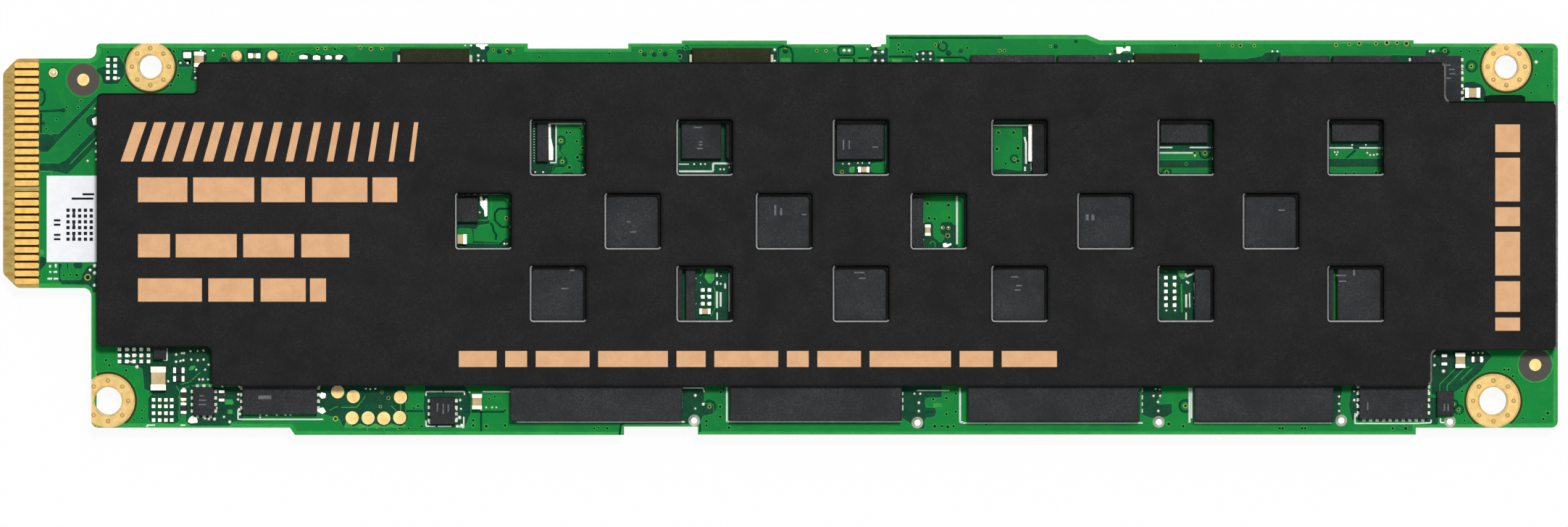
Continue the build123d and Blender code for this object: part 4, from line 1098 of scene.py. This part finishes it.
dotShare = 0.86  # a dot's solder against the width read from the photo
solderDots = [
    (149, 83, 3.2), (159.5, 82, 3.2), (159, 99, 2.6), (148, 108, 3), (157, 108, 2.4), (164, 108, 2.4),
    (249, 87, 2.2), (259, 87, 2.4), (269, 95, 2), (269, 99, 2), (270, 108, 2.8), (283, 74, 2),
    (131, 150, 2), (73.5, 100.4, 5.4), (133, 198, 2.6), (133, 209, 2.8), (133, 220, 2), (121, 222, 2.4),
    (165, 482, 3), (177, 482, 2.4), (186, 482, 2.6), (196, 481, 2.2), (166, 490.5, 2.6), (178, 491, 2.4),
    (187, 490, 2.6), (196, 490, 3), (205, 490, 2.8), (166, 498, 2.6), (177, 498.5, 2.8), (181, 499, 2),
    (189, 506, 3.4), (251, 487, 2.4), (254, 487, 2.4), (263, 484, 2.4), (273, 484, 2), (281, 483, 2.4),
    (243, 489, 2.6), (243, 499, 2.6), (249, 498, 2.4), (253, 497, 2.6), (264, 496, 2.4), (273, 497, 2.4),
    (281, 496, 2.4), (288, 503, 2.4), (271, 510, 2), (283, 510, 2.2), (241, 510.5, 2.8), (253, 510, 2.8),
    (275, 523.5, 2.4), (280, 523.5, 2.6), (287, 523.5, 2.2), (232, 526, 2.4), (253.5, 537.5, 4),
    (253, 552, 3.4), (252, 561, 2.4), (255, 569, 3.4), (307, 533, 2.2), (308, 545, 2.6), (308, 551, 2.4),
    (331, 533, 2.4), (329, 544, 2.6), (328.5, 551, 2.4), (333, 554, 2.2), (330, 565, 3), (331, 571, 2.6),
    (309, 575, 2.4), (317, 582, 3), (299, 563, 2.2), (283, 577, 2.6), (288, 578, 2.6), (296, 578, 3),
    (203, 588, 2), (359, 572, 1.8), (368, 572.5, 2.2), (382, 572, 2), (394, 572, 2), (401, 572, 1.8),
    (440.6, 533, 2), (439, 552, 2), (439, 567, 2.6), (505, 536, 1.8), (511, 536.5, 1.8), (518, 536, 2),
    (593, 553, 2), (593, 571, 2), (593, 583, 2.4), (630, 552, 2.6), (635, 552, 2.6), (630, 565, 2.2),
    (636, 564, 2.2), (630, 578, 2.8), (634, 576, 3.6), (631, 588, 2.8), (637, 587, 3.4), (648, 541, 2),
    (664, 565, 2), (671, 562, 1.6), (679, 562, 1.6), (685, 562, 1.6), (959.5, 545.5, 3),
    (959.5, 563.5, 2.2), (970.5, 557.6, 3), (1262, 543, 2.2), (1270, 543, 2.4), (1268, 555.6, 2.8),
    (1268, 567, 2.6), (1595, 536.5, 1.6), (1600.6, 537, 1.6), (1592, 546, 2.4), (1601, 546, 2.6),
    (1598, 554.5, 2.4), (1598.5, 567, 2.6), (1848, 547, 2.4), (1848, 557, 2.2), (1848, 567, 2.2),
    (1869, 539.5, 2.2), (1875, 539.5, 2), (1869, 552, 2.6), (1873, 558, 2), (1872, 573, 3),
    (1971, 539, 2.2), (1971.5, 552, 2), (1971, 558, 2), (1971, 569, 1.8), (1979.5, 491, 2.6),
    (1979.5, 503.6, 2.6), (1992, 512, 3.4), (2032.6, 495.8, 3.2), (2044.6, 495.8, 3.6),
    (2033, 486.6, 1.8), (2040, 486.6, 1.8), (2046, 486.6, 1.8), (2120, 85.8, 3), (1978, 71, 3.4),
    (1973, 71, 2), (2018, 96, 2), (2018, 108, 3), (2014, 136, 2.6), (2020, 135, 2.4), (2020, 123, 2.4),
    (650, 63, 2.4), (642, 63, 1.8), (660, 77, 3), (660, 83.5, 2.6), (667, 84, 2), (651, 84, 1.6),
    (1069, 69, 3), (1065, 77, 1.8), (1069, 84, 2.2), (1165, 70, 3.4), (1172, 70, 3.2), (1197, 68, 2),
    (1208, 72, 3.2), (1218, 72, 3.2), (1208, 84, 3.2), (1218, 84, 3.2), (1274, 74, 3), (1284, 74, 3),
    (1274, 82, 2.2), (1284, 82, 2.2), (1266, 75, 2.2), (1274, 87, 2), (1284, 87, 2), (1300, 84, 3.4),
    (1265, 85, 2.4), (1545, 85, 2.2), (1558, 85, 2.2), (1565, 75, 2), (1532, 75, 2), (1763, 71, 2),
    (1756, 71, 2), (131, 366.5, 3.6), (131, 376.5, 3.6), (124.5, 372.5, 2.8), (130.5, 393.5, 3),
    (277, 70, 2), (294, 70, 2.2), (738.6, 237.6, 1.8), (749.5, 237.6, 2.2), (805.4, 188, 1.8),
    (805, 231.6, 2), (994, 233.7, 2.2), (999, 233.7, 2.2), (993, 243, 2.4), (999, 243, 2.4),
    (1007.5, 231, 3), (958, 226.5, 2), (967, 226.5, 2), (973, 226.5, 2), (1163, 226, 1.8),
    (1171.6, 226, 2.2), (1184, 225, 1.8), (1190, 225, 1.6), (1199.6, 225, 2), (1184.5, 232, 2.4),
    (1193, 232, 2.6), (1424, 180, 1.6), (1423.6, 233, 2), (1674, 219, 2), (1887, 211, 2.2),
    (1891, 214, 2.4), (1896, 214, 2.4), (1901, 213, 2.6), (1907, 213, 2.6), (1842, 210, 1.8),
    (1846, 210, 1.8), (1844.5, 213.5, 1.8), (1866, 200, 1.8), (1885, 200, 1.8), (1649, 215, 2),
    (704, 281, 1.6), (704, 313, 2), (703.6, 322, 2), (696, 336.5, 2.4), (700, 336.5, 2), (662, 293, 1.8),
    (663.6, 273, 1.8), (1273.3, 283.3, 1.4), (1273.6, 302, 1.4), (1273.6, 306, 1.4), (1273.8, 331, 1.6),
    (1283, 313.4, 2.4), (1282.6, 321.5, 2.2), (1283, 325, 1.8), (1300, 314, 1.8), (1309, 314, 1.8),
    (960, 384, 1.6), (966.5, 389.7, 1.2), (959.4, 400, 1.6), (968, 400, 2), (978, 400, 2.2),
    (968, 408.6, 2.2), (977, 408.4, 2.6), (960, 419, 1.4), (968, 419, 2), (977, 419, 2.2),
    (995, 381, 1.6), (994.6, 391.6, 2.2), (1599.6, 383.7, 1.8), (1610.4, 383.5, 1.6),
    (1621.5, 383.7, 1.6), (1599.4, 395, 1.4), (1610, 395, 1.8), (1622, 395, 2), (1609.6, 402.3, 2.6),
    (1621.7, 402.4, 2.8), (1599.5, 410.6, 1.6), (1609.6, 410, 2.4), (1621.8, 409.8, 2.6),
    (1610, 419.6, 2.4), (1621.8, 419.7, 2.6), (1609.5, 428.5, 2.2), (1621.6, 428.5, 2.2),
    (1648, 411, 1.6), (1649, 420, 1.6),
]
solderDots += row((737, 170), (737, 222), 15, 1.1)
solderDots += row((1893, 578.5), (1953, 578.5), 8, 1.8)
setDrops("solderDots", [(x, y, size * dotShare) for x, y, size in solderDots], "solder", "tin", "solder")

# Gold stubs run from each contact down the bevelled tip

stub = {
    "width": 0.05 * mm, "height": 0.02 * mm, "lift": 0.01 * mm, "overlap": 0.1 * mm, "tipMargin": 0.05 * mm,
    "bevelShare": 0.93,
}


def makeStubs(name, face, side):  # side is 1 on the upper face and -1 on the lower one
    mesh = bpy.data.meshes.new("stubs")
    points = []
    edges = []
    bevelEnd = cadLow.x + contact["bevelLength"]
    level = face + side * stub["lift"]
    foot = level - side * contact["bevelDepth"] * stub["bevelShare"]
    for line in contactRows:
        start = len(points)
        points.append((contactLow.x + stub["overlap"], line, level))
        inward = min(contactHigh.y - line, line - contactLow.y) + contact["edgeMargin"]
        if inward < contact["cornerCut"]:  # the tongue's cut corner leaves no bevel here
            points.append((cadLow.x + contact["cornerCut"] - inward + stub["overlap"], line, level))
            edges.append((start, start + 1))
            continue
        points += [(bevelEnd, line, level), (cadLow.x + stub["tipMargin"], line, foot)]
        edges += [(start, start + 1), (start + 1, start + 2)]
    mesh.from_pydata(points, edges, [])
    grow(name, mesh, recipes["ribbon"], "contactGold", "gold",
         Width=stub["width"], Height=stub["height"], Turn=0.0)


makeStubs("contactStubsUpper", boardTop, 1)
makeStubs("contactStubsLower", boardBottom, -1)

# A lighter band along the board's edges, a painted highlight

edgeHighlightBand = {"width": 0.34 * mm, "lift": 0.003 * mm}


def makeEdgeHighlight(name, side):  # side is 1 on the upper face and -1 on the lower one
    work = bmesh.new()
    work.from_mesh(nodes["circuit_board"].data)
    bmesh.ops.remove_doubles(work, verts=work.verts, dist=mergeDistance)
    level = boardTop if side == 1 else boardBottom
    other = [face for face in work.faces if abs(face.calc_center_median().z - level) > mergeDistance * 2]
    bmesh.ops.delete(work, geom=other, context="FACES")
    made = bmesh.ops.inset_region(work, faces=work.faces[:], thickness=edgeHighlightBand["width"], use_boundary=True)
    band = set(made["faces"])
    spare = [face for face in work.faces if face not in band]
    bmesh.ops.delete(work, geom=spare, context="FACES")
    bmesh.ops.bisect_plane(work, geom=work.verts[:] + work.edges[:] + work.faces[:], clear_inner=True,
                           plane_co=(across(boardLook["tongueEnd"]), 0, 0), plane_no=(1, 0, 0))
    # the bands round the four bores lie under the gold rings and go
    rings = [(spot(centre).xy, radius * pixel) for centre, radius in boardLook["rings"]]
    hidden = []
    for face in work.faces:
        middle = face.calc_center_median().xy
        if any((middle - centre).length < radius for centre, radius in rings):
            hidden.append(face)
    bmesh.ops.delete(work, geom=hidden, context="FACES")
    bmesh.ops.translate(work, verts=work.verts, vec=(0, 0, edgeHighlightBand["lift"] * side))
    mesh = bpy.data.meshes.new(name)
    work.to_mesh(mesh)
    work.free()
    mesh.materials.append(finishes["maskEdgeHighlight"])
    piece = bpy.data.objects.new(name, mesh)
    scene.collection.objects.link(piece)
    settle(piece)


makeEdgeHighlight("edgeHighlightUpper", 1)
makeEdgeHighlight("edgeHighlightLower", -1)

# The lower face: silk round the packages, lines from the contacts and from the controller's place

lowerFace = {
    "packages": [f"flash_package_{index}" for index in (5, 6, 7, 8)],
    "silkGap": 6, "gapReach": 13, "footReach": 6, "gapTurn": 6.0, "gapWidth": 2.4,
    "pinSize": 3, "pinOffset": 4,
    "lanes": {"count": 28, "firstRow": 91.6, "step": 10.84, "start": 57, "bend": 72, "target": 236,
              "targetStep": 5.2, "end": 318},
    "laneWidth": 1.7,
    "bus": {"start": 604, "firstRow": 140, "step": 3, "perPackage": 5, "firstColumn": 24, "columnStep": 11,
            "turn": 8, "endGap": 6},
    "edgeHoles": [((330, 76), (690, 76), 22), ((1010, 78), (1960, 78), 56), ((470, 588), (700, 588), 16),
                  ((1000, 592), (1950, 592), 52), ((330, 150), (330, 470), 18), ((588, 150), (588, 470), 18)],
    "holeSize": 2.0,
}


def makeLowerFace():
    look = lowerFace
    frames = []
    gaps = []
    pins = []
    lines = []
    holes = []
    bus = look["bus"]
    for number, name in enumerate(look["packages"]):
        low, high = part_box(name)
        left, right, top, foot = columnOf(low.x), columnOf(high.x), rowOf(high.y), rowOf(low.y)
        for reach, store in ((look["silkGap"], frames), (look["gapReach"], gaps)):
            under = foot + min(reach, look["footReach"])
            store.append([(left - reach, top - reach), (right + reach, top - reach), (right + reach, under),
                          (left - reach, under)])
        pins.append((left - look["gapReach"] - look["pinOffset"], top - look["pinOffset"], look["pinSize"]))
        end = top - look["gapReach"] - bus["endGap"]
        for index in range(bus["perPackage"]):
            level = bus["firstRow"] + (number * bus["perPackage"] + index) * bus["step"]
            column = left + bus["firstColumn"] + (bus["perPackage"] - index) * bus["columnStep"]
            lines.append([(bus["start"], level), (column - bus["turn"], level), (column, level + bus["turn"]),
                          (column, end)])
            holes += [(bus["start"], level, look["holeSize"]), (column, end, look["holeSize"])]
    lanes = look["lanes"]
    for index in range(lanes["count"]):
        level = lanes["firstRow"] + index * lanes["step"]
        target = lanes["target"] + index * lanes["targetStep"]
        lines.append([(lanes["start"], level), (lanes["bend"], level),
                      (lanes["bend"] + abs(target - level), target), (lanes["end"], target)])
    for first, last, count in look["edgeHoles"]:
        holes += row(first, last, count, look["holeSize"])
    layRibbon("lowerSilk", loops(frames), "silk", "board", silkLines["width"], levels["silk"], turns["silk"],
              boardBottom - levels["silk"])
    layRibbon("lowerGaps", loops(gaps), "maskDarkAndShade", "board", look["gapWidth"], levels["gap"], look["gapTurn"],
              boardBottom - levels["gap"])
    layRibbon("lowerTraces", lines, "maskLightAndHighlight", "board", look["laneWidth"], levels["trace"], turns["trace"],
              boardBottom - levels["trace"])
    setHoops("lowerHoles", holes, "maskLightAndHighlight", "board", "maskedHole", boardBottom)
    lowerWells = [(x, y, size * holeSize["well"]) for x, y, size in holes]
    setDrops("lowerWells", lowerWells, "gap", "board", "lowerWell", boardBottom)
    setDrops("lowerPinDots", pins, "silk", "board", "spot", boardBottom)


makeLowerFace()

# The heat spreader again, with its pulled edges rounded

sheetEdge = {
    "round": 0.055 * mm, "steps": 3, "bevelAngle": 25, "flatAngle": 0.5,
    "coatedDrop": 0.16 * mm, "footRise": 0.05 * mm, "reach": 2.9 * mm,
    # a face's look goes by its place and by its normal, whose parts run from -1 to 1; some faces get painted
    # highlights and others painted shade, picked by which way they turn
    "flat": 0.985, "slope": 0.74, "foot": 0.6, "side": 0.3, "litSide": 0.5,
}
windowColumns = {
    203.5: [771, 973, 1188.5, 1407, 1636, 1870],
    305: [668, 874, 1082.5, 1295.5, 1525.5, 1753.5],
    405: [771, 973, 1188.5, 1407, 1636, 1870],
}
windowMiddles = [(column, level) for level in windowColumns for column in windowColumns[level]]
windowPlaces = [spot(point) for point in windowMiddles]


def sheetLook(face, edgeLow, edgeHigh):  # 1 rim with a painted highlight, 2 lip with a painted highlight, 3 wall or rim in painted shade, 4 bare punched wall with a painted highlight
    look = sheetEdge
    turn, centre = face.normal, face.center
    inside = any(
        max(abs(centre.x - place.x), abs(centre.y - place.y)) < look["reach"] for place in windowPlaces
    )
    if centre.z < edgeHigh:
        if not inside or centre.z < edgeLow:
            return 0
        return 4 if turn.x > look["litSide"] or turn.y > look["litSide"] else 3
    if turn.z > look["flat"]:
        return 0
    if inside:
        return 2 if turn.x < -look["side"] and turn.z < look["slope"] else 0
    if turn.x > look["side"]:
        return 1
    if turn.y > look["side"]:
        return 1 if turn.z < look["foot"] else 3
    return 0


def makeSheet():
    look = sheetEdge
    work = bmesh.new()
    work.from_mesh(nodes["heat_spreader"].data)
    bmesh.ops.remove_doubles(work, verts=work.verts, dist=mergeDistance)
    bmesh.ops.dissolve_limit(
        work, angle_limit=math.radians(look["flatAngle"]), verts=work.verts, edges=work.edges
    )
    mesh = bpy.data.meshes.new("spreaderSheet")
    work.to_mesh(mesh)
    work.free()
    piece = bpy.data.objects.new("spreaderSheet", mesh)
    scene.collection.objects.link(piece)
    mesh.materials.clear()
    mesh.materials.append(finishes["sheet"])
    bevel = piece.modifiers.new("rounding", "BEVEL")
    bevel.width = look["round"]
    bevel.segments = look["steps"]
    bevel.limit_method = "ANGLE"
    bevel.angle_limit = math.radians(look["bevelAngle"])
    weighted = piece.modifiers.new("evenLight", "WEIGHTED_NORMAL")
    weighted.keep_sharp = False
    makePlain(piece)
    result = piece.data
    result.polygons.foreach_set("use_smooth", [True] * len(result.polygons))
    # rim, lip and wall faces get painted highlights or painted shade by their normals
    for name in ("sheetRimHighlight", "sheetLipHighlight", "sheetWallShade", "punchedHighlight"):
        result.materials.append(finishes[name])
    edgeLow, edgeHigh = sheetLow.z + look["footRise"], sheetHigh.z - look["coatedDrop"]
    for face in result.polygons:
        face.material_index = sheetLook(face, edgeLow, edgeHigh)
    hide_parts("heat_spreader")
    settle(piece)


makeSheet()

# A black strip in the film's colour at the foot of each window, a little off centre: painted shade between
# the spreader and the parts below

windowShadeStrip = {
    "reach": 2.0 * mm, "width": 0.11 * mm, "height": 0.09 * mm, "turn": 5.0, "offset": 0.05 * mm,
}


def makeWindowShadeStrip():
    look = windowShadeStrip
    reach, offset = look["reach"] / pixel, look["offset"] / pixel
    squares = []
    for column, level in windowMiddles:
        left, right = column - offset - reach, column - offset + reach
        top, foot = level + offset - reach, level + offset + reach
        squares.append([(left, top), (right, top), (right, foot), (left, foot)])
    layRibbon("windowShadeStrip", loops(squares), "film", "film", look["width"] / pixel, look["height"],
              look["turn"], sheetLow.z - look["height"])


makeWindowShadeStrip()

# Copper print on the sheet: plain stripes and bars

printMarks = {
    "thickness": 0.02 * mm,
    "stripes": {"first": 186, "last": 572, "row": 196, "count": 15, "widest": 17, "narrowest": 6,
                "length": 54, "slant": 1.1},
    "bars": [
        (226, 262, 68, 34), (310, 262, 84, 34), (392, 262, 60, 34), (470, 262, 76, 34), (532, 262, 34, 34),
        (214, 339, 44, 32), (286, 339, 84, 32), (372, 339, 70, 32), (450, 339, 66, 32),
        (236, 400, 88, 32), (320, 400, 62, 32), (392, 400, 62, 32), (440, 400, 22, 32),
    ],
    "footBars": {"row": 495, "length": 22, "first": 634, "gap": 12,
                 "widths": [52, 30, 74, 96, 40, 88, 30, 60, 112, 46, 76]},
    "endBars": {"column": 2079, "width": 34, "first": 172, "gap": 8, "lengths": [38, 60, 26, 60, 42, 18]},
}


def makePrint():
    marks = printMarks
    stripes = marks["stripes"]
    slanted = []
    for index in range(stripes["count"]):
        share = index / (stripes["count"] - 1)
        width = stripes["widest"] + (stripes["narrowest"] - stripes["widest"]) * share
        column = stripes["first"] + (stripes["last"] - stripes["first"]) * share
        slanted.append((column, stripes["row"], width, stripes["length"]))
    bars = list(marks["bars"])
    foot = marks["footBars"]
    column = foot["first"]
    for width in foot["widths"]:
        bars.append((column + width / 2, foot["row"], width, foot["length"]))
        column += width + foot["gap"]
    end = marks["endBars"]
    level = end["first"]
    for length in end["lengths"]:
        bars.append((end["column"], level + length / 2, end["width"], length))
        level += length + end["gap"]
    setBars("printStripes", slanted, "print", "spreader", marks["thickness"], sheetHigh.z, stripes["slant"])
    setBars("printBars", bars, "print", "spreader", marks["thickness"], sheetHigh.z)


makePrint()

# Label: a plain block of squares, a few bars beside it and two above

labelPrint = {
    "height": 0.01 * mm,
    "squares": {"columns": range(94, 134, 8), "rows": range(290, 338, 8), "size": 4.6},
    "smallSquares": {"columns": [102], "rows": range(294, 334, 16), "size": 3.2},
    "bars": [
        (79, 304, 9, 3), (79, 310, 9, 3), (79, 324, 9, 3), (79, 330, 9, 3), (122, 268, 16, 3),
        (114, 274, 30, 3),
    ],
}


def makeLabelPrint():
    marks = []
    for kind in ("squares", "smallSquares"):
        block = labelPrint[kind]
        size = block["size"]
        marks += [(column, level, size, size) for column in block["columns"] for level in block["rows"]]
    marks += labelPrint["bars"]
    setBars("labelMarks", marks, "ink", "label", labelPrint["height"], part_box("paper_label")[1].z)


makeLabelPrint()

# Faint laser marks on the packages and chips: short dashes

laserMarks = {
    "height": 0.004 * mm,
    "packageMarks": [
        (1864, 300, 10, 2), (874, 320, 8, 2), (868, 306, 5, 2), (790, 370, 6, 8), (780, 398, 10, 2),
        (1070, 290, 3, 14), (1078, 292, 3, 10), (1110, 296, 6, 2), (1500, 300, 4, 8), (1508, 300, 4, 8),
        (1400, 382, 10, 2), (1406, 394, 8, 2), (1404, 400, 8, 2), (1190, 384, 10, 2), (1186, 376, 14, 2),
        (1850, 380, 14, 2), (1852, 388, 10, 2), (1868, 376, 3, 8), (1768, 290, 8, 2), (770, 300, 6, 3),
    ],
    "chipMarks": [
        (963, 176, 12, 2), (967, 196, 5, 2), (967, 200, 5, 2), (966, 205, 8, 2), (1164, 200, 2, 14),
        (1172, 200, 2, 12), (1208, 203, 8, 2), (279, 546, 6, 2), (280, 552, 10, 2), (280, 558, 10, 2),
        (366, 548, 18, 5), (604, 562, 2, 12), (612, 564, 2, 14), (619, 563, 2, 10), (1996, 90, 10, 2),
        (2003, 96, 8, 2), (2004, 102, 8, 2), (1998, 108, 8, 2), (1887, 560, 2, 10), (1993, 562, 2, 10),
        (1998, 562, 2, 10),
    ],
}
for kind, owner in (("packageMarks", "flash_package_1"), ("chipMarks", "regulator_chip_1")):
    setBars(kind, laserMarks[kind], "mark", "moulding", laserMarks["height"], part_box(owner)[1].z)

# Solder balls in a row under the edge of each large package

balls = {
    "inset": 0.3 * mm, "radius": 0.125 * mm, "pitch": 0.8 * mm,
    "packages": [f"flash_package_{index}" for index in range(1, 9)],
    "chips": ["controller_chip", "memory_chip_1", "memory_chip_2"],
}


def makeBalls():
    mesh = bpy.data.meshes.new("rows")
    points = []
    edges = []
    inset = balls["inset"]
    for name in balls["packages"] + balls["chips"]:
        low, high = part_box(name)
        level = boardTop + balls["radius"] if high.z > boardTop else boardBottom - balls["radius"]
        left, right = low.x + inset, high.x - inset
        near, far = low.y + inset, high.y - inset
        start = len(points)
        points += [(left, near, level), (right, near, level), (right, far, level), (left, far, level)]
        edges += [(start, start + 1), (start + 1, start + 2), (start + 2, start + 3), (start + 3, start)]
    mesh.from_pydata(points, edges, [])
    grow("solderBalls", mesh, recipes["ballRow"], "solder", "tin",
         Pitch=balls["pitch"], Radius=balls["radius"])


makeBalls()

# Camera straight above, floor and light

view = {"distance": 1.2, "sensor": 36.0, "nearest": 0.01, "farthest": 10.0}
light = {"sun": 2.15, "sunSoftness": 9.0, "sunLean": (0.12, 0.27, 1.0), "fill": 0.36}

cameraData = bpy.data.cameras.new("camera")
cameraData.sensor_width = view["sensor"]
cameraData.lens = view["sensor"] * view["distance"] / (photo["width"] * pixel)
cameraData.clip_start = view["nearest"]
cameraData.clip_end = view["farthest"]
camera = bpy.data.objects.new("camera", cameraData)
camera.location = spot((photo["width"] / 2, photo["height"] / 2), boardTop + view["distance"])
scene.collection.objects.link(camera)
scene.camera = camera

sunData = bpy.data.lights.new("key", "SUN")
sunData.energy = light["sun"]
sunData.angle = math.radians(light["sunSoftness"])
sun = bpy.data.objects.new("key", sunData)
sun.rotation_mode = "QUATERNION"
sun.rotation_quaternion = Vector(light["sunLean"]).to_track_quat("Z", "Y")
scene.collection.objects.link(sun)


def seenDirectly(bench):  # 1 for what the camera, a reflection or glass shows, else 0
    kinds = ("Is Camera Ray", "Is Glossy Ray", "Is Transmission Ray")
    seen, reflected, through = [bench.add("ShaderNodeLightPath", output=kind) for kind in kinds]
    return seen.orMore(reflected).orMore(through)


world = bpy.data.worlds.new("studio")
world.use_nodes = True
scene.world = world
air = Bench(world.node_tree)
world.node_tree.nodes.clear()
strength = light["fill"] + seenDirectly(air) * (1 - light["fill"])
backdrop = air.add("ShaderNodeBackground", None, {"Color": (1, 1, 1, 1), "Strength": strength})
air.add("ShaderNodeOutputWorld", None, {"Surface": backdrop})

floorLook = {"color": shade(246, 246, 246), "glow": 0.94, "size": 30.0, "drop": 0.01 * mm}


def makeFloor():
    material = bpy.data.materials.new("paleFloor")
    material.use_nodes = True
    bench = Bench(material.node_tree)
    bench.tree.nodes.clear()
    matt = bench.add("ShaderNodeBsdfDiffuse", None, {"Color": floorLook["color"]})
    glow = bench.add("ShaderNodeEmission", None, {"Color": (1, 1, 1, 1), "Strength": 1.0})
    share = seenDirectly(bench) * floorLook["glow"]
    mixed = bench.add("ShaderNodeMixShader", None, {0: share, 1: matt, 2: glow})
    bench.add("ShaderNodeOutputMaterial", None, {"Surface": mixed})
    half = floorLook["size"] / 2
    level = cadLow.z - floorLook["drop"]
    mesh = bpy.data.meshes.new("floor")
    mesh.from_pydata([(-half, -half, level), (half, -half, level), (half, half, level), (-half, half, level)],
                     [], [(0, 1, 2, 3)])
    mesh.materials.append(material)
    floor = bpy.data.objects.new("floor", mesh)
    scene.collection.objects.link(floor)


makeFloor()
scene.view_settings.view_transform = "Standard"
print("camera, light and floor set")
